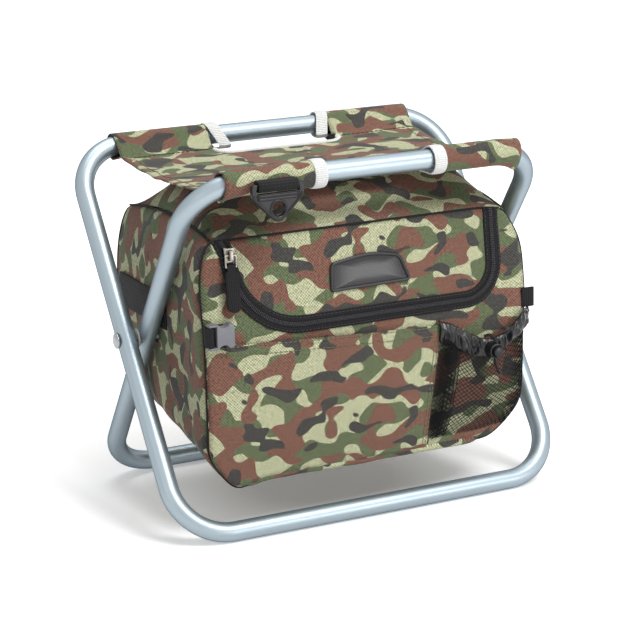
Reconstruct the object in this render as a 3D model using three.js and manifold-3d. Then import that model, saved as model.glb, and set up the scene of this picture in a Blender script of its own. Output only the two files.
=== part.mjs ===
// Folding cooler stool: two crossed tube loops carry a sling seat, with an insulated bag under it.
// Millimetres, +Z up, the front faces -Y, and the origin is on the floor under the middle of the stool.
import * as THREE from 'three';
import { mergeVertices } from 'three/addons/utils/BufferGeometryUtils.js';
import Module from 'manifold-3d';

const wasm = await Module();
wasm.setup();

// Running gap between pieces that touch
const GAP = 0.3;

// How far a cutting shape passes through what it cuts
const OVERSHOOT = 1;

// Tube frame: two rounded rectangles of 5/8 inch tube, crossed at the middle of their legs
const TUBE_RADIUS = 7.95;
const TUBE_WALL = 1.0;
const TUBE_SIDES = 16;
const BORE_SIDES = 10;
const BEND_STEPS = 8;
const BEND_RADIUS = 44;
const LEG_LENGTH = 344;
const OUTER_WIDTH = 340;
const TUBE_SPACING = 1.4;
const INNER_WIDTH = OUTER_WIDTH - 2 * (2 * TUBE_RADIUS + TUBE_SPACING);
const LEAN = THREE.MathUtils.degToRad(36.1);
const HALF_RISE = (LEG_LENGTH / 2) * Math.cos(LEAN);
const PIVOT_Z = TUBE_RADIUS + HALF_RISE;
const BAR_Y = (LEG_LENGTH / 2) * Math.sin(LEAN);
const BAR_Z = PIVOT_Z + HALF_RISE;

// Pivot: one rivet a side, with a thin washer between the tubes
const RIVET_RADIUS = 3;
const RIVET_HOLE_RADIUS = 3.4;
const RIVET_HEAD_RADIUS = 6.5;
const RIVET_DOME = 2.8;
const RIVET_TAIL_RADIUS = 5.5;
const RIVET_TAIL = 1.4;
const TUBE_CORNER = TUBE_RADIUS / Math.cos(Math.PI / TUBE_SIDES);
const WASHER_RADIUS = 8;
const WASHER_THICKNESS = 0.5;
const ROUND_STEPS = 9;

// Fabric seat: a sling between the top bars, with sleeves, and handle cut-outs at the middle
const FABRIC = 1.4;
const FRONT_HALF = 131;
const REAR_HALF = 137;
const SEAT_SHIFT = 2;
const SEAT_REACH = 80.5;
const SEAT_LOW = 270;
const SEAT_RISE = 6.8;
const SEAT_STEPS = 12;
const CUTOUT_SHIFT = 5;
const CUTOUT_HALF = 57;
const CUTOUT_DEPTH = 13;
const CUTOUT_CORNER = 10;
const BINDING_WIDTH = 6;
const BINDING_PROUD = 0.4;
const COLLAR_LENGTH = 14;
const COLLAR_PROUD = 0.5;
const SLEEVE_RADIUS = 10.6;
const SLEEVE_DROP = 0.7;
const SLEEVE_TAIL = [17, -6.6];
const SLEEVE_TAIL_RADIUS = 1.2;
const SLEEVE_STEPS = 14;
const SLEEVE_TAIL_STEPS = 3;
const SLEEVE_SLICE = 14;

// Strap rings: a moulded triangle with a webbing slot and a hook hole
const RING_X = 88;
const RING_HALF = 22;
const RING_TOP = 2;
const RING_SHOULDER = -9;
const RING_TIP = -28;
const RING_TIP_HALF = 6;
const RING_THICKNESS = 4;
const RING_CORNER = 3;
const RING_SLOT_HALF = 17.8;
const RING_SLOT_TOP = -1.8;
const RING_SLOT_BOTTOM = -5.4;
const RING_HOLE_Z = -18;
const RING_HOLE_RADIUS = 5.5;
const RING_RIB = 1;
const RING_RIB_Z = [-7.2, -9.8];
const RING_RIB_HALF_HEIGHT = 0.6;
const LOOP_HALF = 17;
const LOOP_BORE = 3.05;
const LOOP_THICKNESS = 1.5;
const LOOP_TAIL = [-7, 7];
const LOOP_Y = BAR_Y + SLEEVE_RADIUS + GAP + LOOP_BORE + LOOP_THICKNESS;
const LOOP_Z = 283;

// Bag: section corners in (y, z) from the bottom front corner, round by the rear, to the front again
const FRONT_Y = -95;
const FRONT_BEND_Z = 156;
const SEAM_Y = -83.5;
const SEAM_Z = 238;
const BAG_SECTION = [
  [-92, 43],
  [92, 43],
  [-FRONT_Y, 95],
  [-FRONT_Y, FRONT_BEND_Z],
  [-SEAM_Y, SEAM_Z],
  [30, 269.6],
  [-30, 269.6],
  [SEAM_Y, SEAM_Z],
  [FRONT_Y, FRONT_BEND_Z],
  [FRONT_Y, 95],
];
const BACK_EDGES = [1, 2, 3, 4];
const TOP_EDGES = [4, 5, 6, 7];
const FRONT_EDGES = [7, 8, 9, 0];
const BAG_HALF = 141.5;
const BAG_CORNER = 40;
const BAG_BOTTOM = 43;
const SHOULDER_Z = 190;
const SEAM_HALF = 129;
const RIDGE_HALF = 127;
const BAG_TOP = 280;
const BAG_REACH = 110;
const BOTTOM_SLOPE = 0.2;
const SLOPE_FRONT = -92;
const SLOPE_FADE_TOP = 150;
const SLOPE_FADE = 60;
const FOAM = 5;
const LINING = 0.8;
const CORNER_STEPS = 4;

// Door: a leaning flap hinged at the top front seam, inside a U-shaped zip with a wide left corner
const DOOR_HINGE = [0, SEAM_Y, SEAM_Z];
const DOOR_LEAN = Math.atan2(SEAM_Y - FRONT_Y, SEAM_Z - FRONT_BEND_Z);
const DOORWAY_TOP_HALF = 125.5;
const DOORWAY_LOW_HALF = 124;
const DOORWAY_HEIGHT = 80;
const DOORWAY_LEFT_CORNER = 66;
const DOORWAY_RIGHT_CORNER = 36;
const DOORWAY_REACH = 12;
const DOOR_TOP = 0.6;
const ZIP_WIDTH = 14;
const ZIP_FRONT = -1;
const ZIP_BACK = 0.9;
const PAD_INSET = 15.3;
const PAD_DEPTH = 4.8;
const FOAM_DOORWAY_INSET = 14.5;
const PATCH_HALF = 36;
const PATCH_X = 2;
const PATCH_Z = -38.5;
const PATCH_HEIGHT = 22;
const PATCH_CROWN = 5;
const PATCH_SLANT = 8;
const PATCH_LEFT_SLANT = 1;
const PATCH_THICKNESS = 1.3;

// Zip slider and pull, in the door's own frame; the slider runs round the middle of the left corner
const ZIP_TURN_X = DOORWAY_LEFT_CORNER - DOORWAY_LOW_HALF;
const ZIP_TURN_Z = DOORWAY_LEFT_CORNER - DOORWAY_HEIGHT;
const ZIP_RUN_RADIUS = DOORWAY_LEFT_CORNER - ZIP_WIDTH / 2;
const SLIDER_Z = -12;
const SLIDER_HALF = 5;
const SLIDER_LENGTH = 13;
const SLIDER_DEPTH = 3;
const SLIDER_DIP = 2;
const SLIDER_TAPER = 0.7;
const BRIDGE_HALF = 1.6;
const BRIDGE_LENGTH = 8;
const BRIDGE_HEIGHT = 4;
const BRIDGE_HOLE = [5, 2.6];
const LINK_WIRE = 1.4;
const LINK_HALF = 5.2;
const LINK_LENGTH = 10.2;
const TAB_HALF = 5.5;
const TAB_NECK_HALF = 3.4;
const TAB_NECK = 5;
const TAB_SHOULDER = 7;
const TAB_LENGTH = 37.2;
const TAB_THICKNESS = 3.2;
const TAB_BORE = 2;

// Pockets on the front panel
const POCKET_TOP = 152;
const POCKET_LEFT = 139.5;
const POCKET_RIGHT_TOP = 64;
const POCKET_RIGHT_BOTTOM = 51;
const POCKET_BOTTOM = 45;
const POCKET_CORNER = 38;
const POCKET_DEPTH = 6.6;
const POCKET_MOUTH = 4;
const POCKET_FULL_Z = 139;
const POCKET_RIM = 3;
const NET_LEFT = 67;
const NET_SLANT = 13;
const NET_RIGHT = 139.5;
const NET_TOP = 139;
const NET_BULGE = 8;
const NET_WALL = 1.6;
const NET_STEPS = 6;
const ARC_PULL = 4 / 3;
const HEM_HEIGHT = 12;
const HEM_PROUD = 1.6;
const HEM_SAG = 18;

// Cord lock, standing out from the net, and the drawcord through it
const LOCK_X = 105.5;
const LOCK_Z = 124.5;
const LOCK_BACK = -105.4;
const LOCK_RADIUS = 6.5;
const LOCK_LENGTH = 10.5;
const LOCK_BORE = 4.7;
const LOCK_FLOOR = 1.2;
const BUTTON_RADIUS = 4.4;
const BUTTON_START = 3.4;
const BUTTON_END = 14.2;
const BUTTON_SLOT = [5.0, 10.2];
const CORD_DEPTH = 6.6;
const CORD_RADIUS = 1.1;
const CORD_HOLE = 1.6;
const CORD_SIDES = 4;
const CORD_STEPS = 18;
const CORD_Y = LOCK_BACK - CORD_DEPTH;
// The cord's points: across from the lock's middle, place in y, and height over the lock's middle
const CORD_POINTS = [
  [-7, -107.2, 12],
  [-3.5, -110.2, 13.5],
  [0, CORD_Y, 10],
  [0, CORD_Y, 0],
  [0, CORD_Y, -10],
  [2.5, -111.2, -15.5],
  [5.5, -110, -20.5],
];

// Corner webbing, buckle half and side bands
const BUCKLE_X = -141.5;
const BUCKLE_Y = -101;
const BUCKLE_Z = 167.5;
const BUCKLE_HALF = 10;
const BUCKLE_LENGTH = 19.5;
const BUCKLE_DEPTH = 8;
const BUCKLE_BAR = 1.5;
const BUCKLE_SLOT_END = 5;
const BUCKLE_SLOT_HALF = 8.2;
const BUCKLE_NOTCH = 3;
const BUCKLE_NOTCH_RUN = [6, 8, 11, 14.5, 15.5];
const BUCKLE_CHAMFER = 1;
const BUCKLE_WALL = 1.4;
const BUCKLE_MOUTH = [7.2, 2.3, 12];
const STUB_HALF = 7.6;
const STUB_BORE = 2.6;
const STUB_THICKNESS = 1.2;
const STUB_SEWN = 3;
const TAB_OUT = 12;
const SIDE_TAB_Z = [152, 168];
const SIDE_TAB_THICKNESS = 3;
const SIDE_TAB_Y = FRONT_Y + 1;
const BAND_Y = [-22, 78];
const BAND_Z = [156, 184];
const BAND_THICKNESS = 1.2;

const X = new THREE.Vector3(1, 0, 0);
const Y = new THREE.Vector3(0, 1, 0);
const Z = new THREE.Vector3(0, 0, 1);
const HALF_TURN = Math.PI;
const FULL_TURN = 2 * Math.PI;

// Finishes: colour, roughness, metalness
const FINISH = {
  tube: [0xa9b7be, 0.35, 0.3],
  rivet: [0xc4c8ca, 0.3, 1],
  nylon: [0xe6e4dc, 0.6, 0],
  camo: [0x6f7149, 0.9, 0],
  binding: [0xf2f2ee, 0.85, 0],
  webbing: [0x1d1d20, 0.85, 0],
  moulded: [0x4a474c, 0.5, 0],
  buckle: [0x9b9aa0, 0.4, 0],
  foam: [0xd9dadb, 0.9, 0],
  lining: [0xc9cdd2, 0.4, 0],
  zip: [0x1b1b1e, 0.7, 0],
  slider: [0xb9babc, 0.3, 1],
  patch: [0x5f5a62, 0.35, 0],
  net: [0x2a2a2a, 0.9, 0],
};

const stool = new THREE.Group();

/** Adds one named piece with a finish to a group. */
function piece(name, finish, geometry, group = stool) {
  const [color, roughness, metalness] = FINISH[finish];
  const mesh = new THREE.Mesh(geometry, new THREE.MeshStandardMaterial({ color, roughness, metalness }));
  mesh.name = name;
  group.add(mesh);
  return mesh;
}

/** Turns a closed geometry into a solid that can be cut and joined. */
function solid(geometry) {
  const bare = geometry.clone();
  bare.deleteAttribute('normal');
  bare.deleteAttribute('uv');
  const merged = mergeVertices(bare, 1e-4);
  const vertProperties = new Float32Array(merged.attributes.position.array);
  const triVerts = new Uint32Array(merged.index.array);
  return new wasm.Manifold(new wasm.Mesh({ numProp: 3, vertProperties, triVerts }));
}

/** Turns a solid back into a geometry. */
function surface(manifold) {
  const mesh = manifold.getMesh();
  const geometry = new THREE.BufferGeometry();
  geometry.setAttribute('position', new THREE.BufferAttribute(new Float32Array(mesh.vertProperties), 3));
  geometry.setIndex(new THREE.BufferAttribute(new Uint32Array(mesh.triVerts), 1));
  geometry.computeVertexNormals();
  return geometry;
}

/** Takes tools away from a geometry. */
function cut(base, ...tools) {
  return surface(tools.reduce((rest, tool) => rest.subtract(solid(tool)), solid(base)));
}

/** Joins geometries into one. */
function join(first, ...others) {
  return surface(others.reduce((sum, other) => sum.add(solid(other)), solid(first)));
}

/** What two geometries share. */
const common = (first, second) => surface(solid(first).intersect(solid(second)));

/** Runs a flat shape along one axis: a section in (y, z) along X, an outline in (x, z) along Y. */
function extrude(shape, depth, curveSegments, steps = 1) {
  return new THREE.ExtrudeGeometry(shape, { depth, bevelEnabled: false, curveSegments, steps });
}

function alongX(shape, from, to, steps = ROUND_STEPS, slices = 1) {
  const geometry = extrude(shape, to - from, steps, slices);
  return geometry.applyMatrix4(new THREE.Matrix4().makeBasis(Y, Z, X)).translate(from, 0, 0);
}

function alongY(shape, from, to, steps = CORNER_STEPS) {
  const geometry = extrude(shape, to - from, steps);
  return geometry.applyMatrix4(new THREE.Matrix4().makeBasis(X, Z, Y.clone().negate())).translate(0, to, 0);
}

function alongZ(shape, from, to, steps = CORNER_STEPS) {
  return extrude(shape, to - from, steps).translate(0, 0, from);
}

const polygon = (points) => new THREE.Shape(points.map(([a, b]) => new THREE.Vector2(a, b)));

/** A rectangle between two corners. */
function rectangle(left, bottom, right, top) {
  return polygon([
    [left, bottom],
    [right, bottom],
    [right, top],
    [left, top],
  ]);
}

/** A full circle. */
function circle(a, b, radius) {
  const shape = new THREE.Shape();
  shape.absarc(a, b, radius, 0, FULL_TURN, false);
  return shape;
}

/** Moves every edge of a convex outline inwards, or outwards where the distance is below zero. */
function inset(points, distance) {
  const lines = points.map(([a, b], i) => {
    const [c, d] = points[(i + 1) % points.length];
    const along = new THREE.Vector2(c - a, d - b).normalize();
    return { a: a - along.y * distance, b: b + along.x * distance, along };
  });
  return lines.map((line, i) => {
    const before = lines[(i + lines.length - 1) % lines.length];
    const turn = before.along.x * line.along.y - before.along.y * line.along.x;
    const reach = ((line.a - before.a) * line.along.y - (line.b - before.b) * line.along.x) / turn;
    return [before.a + before.along.x * reach, before.b + before.along.y * reach];
  });
}

/** A plain turned piece about the X axis, from a profile of [radius, x]. */
function turnedAlongX(profile, steps = 2 * ROUND_STEPS) {
  const lathe = new THREE.LatheGeometry(profile.map(([r, x]) => new THREE.Vector2(r, x)), steps);
  return lathe.rotateZ(-HALF_TURN / 2);
}

/** A rod along X. */
const rod = (radius, from, to) => alongX(circle(0, 0, radius), from, to);

/** Sweeps a many-sided section round a rounded rectangle that stands in the XZ plane. */
function tubeLoop(width, radius, sides, facetTurn) {
  const corners = [
    [1, 1, 0],
    [-1, 1, 1],
    [-1, -1, 2],
    [1, -1, 3],
  ];
  const sectionRadius = radius / Math.cos(Math.PI / sides);
  const positions = [];
  for (const [sideX, sideZ, quarter] of corners) {
    for (let step = 0; step <= BEND_STEPS; step++) {
      const bend = (quarter + step / BEND_STEPS) * (HALF_TURN / 2);
      const outX = Math.cos(bend);
      const outZ = Math.sin(bend);
      const centreX = sideX * (width / 2 - BEND_RADIUS) + BEND_RADIUS * outX;
      const centreZ = sideZ * (LEG_LENGTH / 2 - BEND_RADIUS) + BEND_RADIUS * outZ;
      for (let side = 0; side < sides; side++) {
        const turn = facetTurn + ((side + 0.5) / sides) * FULL_TURN;
        const out = sectionRadius * Math.cos(turn);
        positions.push(centreX + outX * out, sectionRadius * Math.sin(turn), centreZ + outZ * out);
      }
    }
  }
  const rings = positions.length / 3 / sides;
  const index = [];
  for (let ring = 0; ring < rings; ring++) {
    const here = ring * sides;
    const next = ((ring + 1) % rings) * sides;
    for (let side = 0; side < sides; side++) {
      const other = (side + 1) % sides;
      index.push(here + side, here + other, next + side);
      index.push(here + other, next + other, next + side);
    }
  }
  const geometry = new THREE.BufferGeometry();
  geometry.setAttribute('position', new THREE.Float32BufferAttribute(positions, 3));
  geometry.setIndex(index);
  return geometry;
}

/** One hollow tube loop with rivet holes through both legs, leaning about the pivot axis. */
function frameLoop(name, width, lean) {
  const leaning = new THREE.Group();
  leaning.position.z = PIVOT_Z;
  leaning.rotation.x = -lean;
  const wall = tubeLoop(width, TUBE_RADIUS, TUBE_SIDES, lean);
  const bore = tubeLoop(width, TUBE_RADIUS - TUBE_WALL, BORE_SIDES, lean);
  const holes = [-1, 1].map((side) => {
    const centre = (side * width) / 2;
    return rod(RIVET_HOLE_RADIUS, centre - 2 * TUBE_RADIUS, centre + 2 * TUBE_RADIUS);
  });
  piece(name, 'tube', cut(wall, bore, ...holes), leaning);
  stool.add(leaning);
}

/** Domed rivet and washer at one side. */
function pivot(side, name) {
  const headStart = OUTER_WIDTH / 2 + TUBE_CORNER + GAP;
  const tailEnd = INNER_WIDTH / 2 - TUBE_CORNER - GAP;
  const domeSteps = 4;
  const profile = [
    [0, tailEnd - RIVET_TAIL],
    [RIVET_TAIL_RADIUS, tailEnd - RIVET_TAIL],
    [RIVET_TAIL_RADIUS, tailEnd],
    [RIVET_RADIUS, tailEnd],
    [RIVET_RADIUS, headStart],
    [RIVET_HEAD_RADIUS, headStart],
  ];
  for (let step = 1; step <= domeSteps; step++) {
    const angle = (step / domeSteps) * (HALF_TURN / 2);
    const radius = step === domeSteps ? 0 : RIVET_HEAD_RADIUS * Math.cos(angle);
    profile.push([radius, headStart + RIVET_DOME * Math.sin(angle)]);
  }
  const holder = new THREE.Group();
  holder.position.z = PIVOT_Z;
  holder.rotation.z = side > 0 ? 0 : HALF_TURN;
  piece(`pivot_rivet_${name}`, 'rivet', turnedAlongX(profile), holder);
  const middle = (OUTER_WIDTH + INNER_WIDTH) / 4;
  const washer = cut(
    rod(WASHER_RADIUS, middle - WASHER_THICKNESS / 2, middle + WASHER_THICKNESS / 2),
    rod(RIVET_HOLE_RADIUS, middle - WASHER_THICKNESS, middle + WASHER_THICKNESS),
  );
  piece(`pivot_washer_${name}`, 'nylon', washer, holder);
  stool.add(holder);
}

/** Section of a sleeve: a loop round the bar that draws in to a stitched tail, towards the seat. */
function teardrop(radius, tailRadius, tailReach, inward) {
  const tailY = inward * SLEEVE_TAIL[0] * tailReach;
  const tailZ = SLEEVE_TAIL[1] * tailReach;
  const towards = Math.atan2(tailZ, tailY);
  const spread = Math.acos((radius - tailRadius) / Math.hypot(tailY, tailZ));
  const points = [];
  const arc = (y, z, size, start, end, steps) => {
    for (let step = 0; step <= steps; step++) {
      const angle = start + ((end - start) * step) / steps;
      points.push([y + size * Math.cos(angle), z + size * Math.sin(angle)]);
    }
  };
  arc(0, -SLEEVE_DROP, radius, towards + spread, towards - spread + FULL_TURN, SLEEVE_STEPS);
  arc(tailY, tailZ - SLEEVE_DROP, tailRadius, towards - spread, towards + spread, SLEEVE_TAIL_STEPS);
  return polygon(points);
}

/** Lets the underside of a sleeve down round the bend of the bar that runs through it. */
function followBend(geometry, width, inward) {
  const place = geometry.attributes.position;
  const down = new THREE.Vector2(inward * Math.sin(LEAN), -Math.cos(LEAN));
  for (let i = 0; i < place.count; i++) {
    const past = Math.max(0, Math.abs(place.getX(i)) - (width / 2 - BEND_RADIUS));
    const turn = Math.asin(past / BEND_RADIUS);
    const drop = BEND_RADIUS * (1 - Math.cos(turn)) + TUBE_RADIUS * (1 / Math.cos(turn) - 1);
    const lower = (place.getY(i) * down.x + place.getZ(i) * down.y) / SLEEVE_RADIUS;
    const share = THREE.MathUtils.clamp((lower + 1) / 2, 0, 1);
    place.setY(i, place.getY(i) + drop * share * down.x);
    place.setZ(i, place.getZ(i) + drop * share * down.y);
  }
  return geometry;
}

/** A fabric tube with the sleeve's section, along the bar of a loop of the given width. */
function sleeveTube(proud, width, inward, from, to) {
  const slices = Math.ceil((to - from) / SLEEVE_SLICE);
  const run = (section, start, end) => followBend(alongX(section, start, end, 1, slices), width, inward);
  const tailHole = 0.4;
  const shortTail = 0.6;
  const outside = teardrop(SLEEVE_RADIUS + proud, SLEEVE_TAIL_RADIUS + proud, 1, inward);
  const inside = teardrop(SLEEVE_RADIUS - FABRIC, tailHole, shortTail, inward);
  return cut(run(outside, from, to), run(inside, from - OVERSHOOT, to + OVERSHOOT));
}

/** Sleeves and binding collars on one top bar; inward is +1 in front and -1 at the rear. */
function barFabric(place, inward, width, half) {
  const ends = [
    ['left', -half + SEAT_SHIFT, CUTOUT_SHIFT - CUTOUT_HALF, 1],
    ['right', half + SEAT_SHIFT, CUTOUT_SHIFT + CUTOUT_HALF, -1],
  ];
  const holder = new THREE.Group();
  holder.position.set(0, -inward * BAR_Y, BAR_Z);
  for (const [side, open, bound, way] of ends) {
    const sleeveEnd = bound - way * GAP;
    const collarEnd = bound + way * COLLAR_LENGTH;
    const span = (a, b) => [Math.min(a, b), Math.max(a, b)];
    const sleeve = sleeveTube(0, width, inward, ...span(open, sleeveEnd));
    piece(`seat_sleeve_${place}_${side}`, 'camo', sleeve, holder);
    const collar = sleeveTube(COLLAR_PROUD, width, inward, ...span(bound, collarEnd));
    piece(`binding_collar_${place}_${side}`, 'binding', collar, holder);
  }
  stool.add(holder);
}

/** Height of the sagging seat at a distance from the middle. */
const seatHeight = (y) => SEAT_LOW + SEAT_RISE * (y / SEAT_REACH) ** 2;

/** Section of the sling, thickened on both faces by the given amount. */
function slingSection(proud, reach) {
  const lower = [];
  const upper = [];
  for (let step = 0; step <= SEAT_STEPS; step++) {
    const y = reach * (2 * (step / SEAT_STEPS) - 1);
    lower.push([y, seatHeight(y) - proud]);
    upper.unshift([y, seatHeight(y) + FABRIC + proud]);
  }
  return polygon([...lower, ...upper]);
}

/** Plan of a handle cut-out that runs in from the front or rear edge, grown by the given amount. */
function cutoutPlan(way, grow) {
  const half = CUTOUT_HALF + grow;
  const inner = SEAT_REACH - CUTOUT_DEPTH - grow;
  const corner = CUTOUT_CORNER + grow;
  const outer = SEAT_REACH + CUTOUT_DEPTH;
  const shape = new THREE.Shape();
  shape.moveTo(-half, outer);
  shape.lineTo(-half, inner + corner);
  shape.absarc(-half + corner, inner + corner, corner, HALF_TURN, 1.5 * HALF_TURN, false);
  shape.lineTo(half - corner, inner);
  shape.absarc(half - corner, inner + corner, corner, 1.5 * HALF_TURN, FULL_TURN, false);
  shape.lineTo(half, outer);
  const geometry = alongZ(shape, 0, BAR_Z + SEAT_REACH);
  return geometry.rotateZ(way > 0 ? 0 : HALF_TURN).translate(CUTOUT_SHIFT, 0, 0);
}

/** Sling seat with a bound cut-out at each edge. */
function seat() {
  const from = SEAT_SHIFT - REAR_HALF;
  const to = SEAT_SHIFT + REAR_HALF;
  const plan = polygon([
    [SEAT_SHIFT - FRONT_HALF, -SEAT_REACH],
    [SEAT_SHIFT + FRONT_HALF, -SEAT_REACH],
    [SEAT_SHIFT + REAR_HALF, SEAT_REACH],
    [SEAT_SHIFT - REAR_HALF, SEAT_REACH],
  ]);
  const sheet = common(alongX(slingSection(0, SEAT_REACH), from, to), alongZ(plan, 0, 2 * BAR_Z));
  const ways = { front: -1, rear: 1 };
  const grown = BINDING_WIDTH + GAP;
  piece('seat_panel', 'camo', cut(sheet, cutoutPlan(ways.front, grown), cutoutPlan(ways.rear, grown)));
  for (const [place, way] of Object.entries(ways)) {
    const edge = alongX(slingSection(BINDING_PROUD, SEAT_REACH), from, to);
    const lip = cut(common(edge, cutoutPlan(way, BINDING_WIDTH)), cutoutPlan(way, 0));
    piece(`cutout_binding_${place}`, 'binding', lip);
  }
}

/** Moulded strap ring on its webbing loop, at the front left or turned half round to the rear right. */
function strapRing(place) {
  const holder = new THREE.Group();
  holder.rotation.z = place === 'front' ? 0 : HALF_TURN;
  const hung = new THREE.Group();
  hung.position.set(-RING_X, -LOOP_Y, LOOP_Z);
  const cornerX = RING_HALF - RING_CORNER;
  const cornerZ = RING_TOP - RING_CORNER;
  const outline = new THREE.Shape();
  outline.moveTo(-cornerX, RING_TOP);
  outline.absarc(-cornerX, cornerZ, RING_CORNER, HALF_TURN / 2, HALF_TURN, false);
  outline.lineTo(-RING_HALF, RING_SHOULDER);
  outline.lineTo(-RING_TIP_HALF, RING_TIP + RING_TIP_HALF / 2);
  outline.quadraticCurveTo(0, RING_TIP - RING_TIP_HALF / 2, RING_TIP_HALF, RING_TIP + RING_TIP_HALF / 2);
  outline.lineTo(RING_HALF, RING_SHOULDER);
  outline.lineTo(RING_HALF, cornerZ);
  outline.absarc(cornerX, cornerZ, RING_CORNER, 0, HALF_TURN / 2, false);
  outline.holes.push(rectangle(-RING_SLOT_HALF, RING_SLOT_BOTTOM, RING_SLOT_HALF, RING_SLOT_TOP));
  outline.holes.push(circle(0, RING_HOLE_Z, RING_HOLE_RADIUS));
  const plate = alongY(outline, -RING_THICKNESS / 2, RING_THICKNESS / 2);
  const ribs = RING_RIB_Z.map((z) => {
    const low = z - RING_RIB_HALF_HEIGHT;
    const high = z + RING_RIB_HALF_HEIGHT;
    return alongY(rectangle(-RING_SLOT_HALF, low, RING_SLOT_HALF, high), -RING_THICKNESS / 2 - RING_RIB, 0);
  });
  piece(`strap_ring_${place}`, 'moulded', join(plate, ...ribs), hung);
  const outer = LOOP_BORE + LOOP_THICKNESS;
  const loop = join(
    alongX(circle(0, 0, outer), -LOOP_HALF, LOOP_HALF),
    alongX(rectangle(LOOP_BORE, LOOP_TAIL[0], outer, LOOP_TAIL[1]), -LOOP_HALF, LOOP_HALF),
  );
  piece(`strap_loop_${place}`, 'webbing', cut(loop, rod(LOOP_BORE, -RING_HALF, RING_HALF)), hung);
  holder.add(hung);
  stool.add(holder);
}

/** Front view of the bag: straight sides, round lower corners, drawn in above the shoulder. */
function bagOutline(depth) {
  const half = BAG_HALF - depth;
  const corner = BAG_CORNER - depth;
  const bottom = BAG_BOTTOM + depth;
  const shape = new THREE.Shape();
  shape.moveTo(-RIDGE_HALF + depth, BAG_TOP);
  shape.lineTo(-SEAM_HALF + depth, SEAM_Z);
  shape.lineTo(-half, SHOULDER_Z);
  shape.lineTo(-half, bottom + corner);
  shape.absarc(-half + corner, bottom + corner, corner, HALF_TURN, 1.5 * HALF_TURN, false);
  shape.lineTo(half - corner, bottom);
  shape.absarc(half - corner, bottom + corner, corner, 1.5 * HALF_TURN, FULL_TURN, false);
  shape.lineTo(half, SHOULDER_Z);
  shape.lineTo(SEAM_HALF - depth, SEAM_Z);
  shape.lineTo(RIDGE_HALF - depth, BAG_TOP);
  return shape;
}

/** The whole bag as one block, smaller on every side by the given depth. */
function bagBlock(depth) {
  const section = alongX(polygon(inset(BAG_SECTION, depth)), -BAG_HALF, BAG_HALF);
  return common(alongY(bagOutline(depth), -BAG_REACH, BAG_REACH), section);
}

/** Section of one run of panels between two depths, with its ends drawn back by half a gap. */
function panelBand(edges, near, far) {
  const run = (depth) => {
    const corners = inset(BAG_SECTION, depth);
    return edges.map((edge) => new THREE.Vector2(...corners[edge]));
  };
  const drawIn = (points) => {
    const [first, second] = points;
    const [last, before] = [points.at(-1), points.at(-2)];
    first.add(second.clone().sub(first).setLength(GAP / 2));
    last.add(before.clone().sub(last).setLength(GAP / 2));
    return points;
  };
  return new THREE.Shape([...drawIn(run(near)), ...drawIn(run(far)).reverse()]);
}

/** Lifts the bottom of the bag towards the rear, as the photographed bag hangs. */
function slopeBottom(geometry) {
  const place = geometry.attributes.position;
  for (let i = 0; i < place.count; i++) {
    const behind = Math.max(0, place.getY(i) - SLOPE_FRONT);
    const low = THREE.MathUtils.clamp((SLOPE_FADE_TOP - place.getZ(i)) / SLOPE_FADE, 0, 1);
    place.setZ(i, place.getZ(i) + BOTTOM_SLOPE * behind * low);
  }
  return geometry;
}

/** Outline of the doorway in the door's frame, drawn in by the given amount. */
function doorOutline(depth, top = DOOR_TOP) {
  const bottom = depth - DOORWAY_HEIGHT;
  const topHalf = DOORWAY_TOP_HALF - depth;
  const lowHalf = DOORWAY_LOW_HALF - depth;
  const left = DOORWAY_LEFT_CORNER - depth;
  const right = DOORWAY_RIGHT_CORNER - depth;
  const shape = new THREE.Shape();
  shape.moveTo(-topHalf, -top);
  shape.lineTo(-lowHalf, bottom + left);
  shape.absarc(-lowHalf + left, bottom + left, left, HALF_TURN, 1.5 * HALF_TURN, false);
  shape.lineTo(lowHalf - right, bottom);
  shape.absarc(lowHalf - right, bottom + right, right, 1.5 * HALF_TURN, FULL_TURN, false);
  shape.lineTo(topHalf, -top);
  return shape;
}

/** A block of the doorway's shape through the front wall, in the stool's frame. */
function doorway(depth) {
  const block = alongY(doorOutline(depth, 0), -DOORWAY_REACH, DOORWAY_REACH);
  return block.rotateX(-DOOR_LEAN).translate(...DOOR_HINGE);
}

/** Outer panels of the bag, with the insulation and the lining inside them. */
function bagBody() {
  const sheet = (edges) => alongX(panelBand(edges, 0, FABRIC), -BAG_HALF, BAG_HALF);
  const outside = alongY(bagOutline(0), -BAG_REACH, BAG_REACH);
  piece('bag_front_panel', 'camo', slopeBottom(cut(common(sheet(FRONT_EDGES), outside), doorway(0))));
  piece('bag_back_panel', 'camo', slopeBottom(common(sheet(BACK_EDGES), outside)));
  piece('bag_top_panel', 'camo', common(sheet(TOP_EDGES), outside));

  const foamDepth = FABRIC + GAP;
  const strip = cut(outside, alongY(bagOutline(FABRIC), -2 * BAG_REACH, 2 * BAG_REACH));
  const between = inset(BAG_SECTION, foamDepth);
  between[0][1] = BAG_BOTTOM - FABRIC;
  between[1][1] = BAG_BOTTOM - FABRIC;
  const middle = alongX(polygon(between), -2 * BAG_HALF, 2 * BAG_HALF);
  piece('bag_gusset', 'camo', slopeBottom(common(strip, middle)));

  const foam = cut(bagBlock(foamDepth), bagBlock(foamDepth + FOAM), doorway(FOAM_DOORWAY_INSET));
  piece('insulation_foam', 'foam', slopeBottom(foam));
  const liningDepth = foamDepth + FOAM + GAP;
  const lining = cut(bagBlock(liningDepth), bagBlock(liningDepth + LINING), doorway(FOAM_DOORWAY_INSET));
  piece('cooler_lining', 'lining', slopeBottom(lining));
}

/** Group that holds what lies in the plane of the door. */
function doorFrame() {
  const frame = new THREE.Group();
  frame.position.set(...DOOR_HINGE);
  frame.rotation.x = -DOOR_LEAN;
  stool.add(frame);
  return frame;
}

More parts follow.
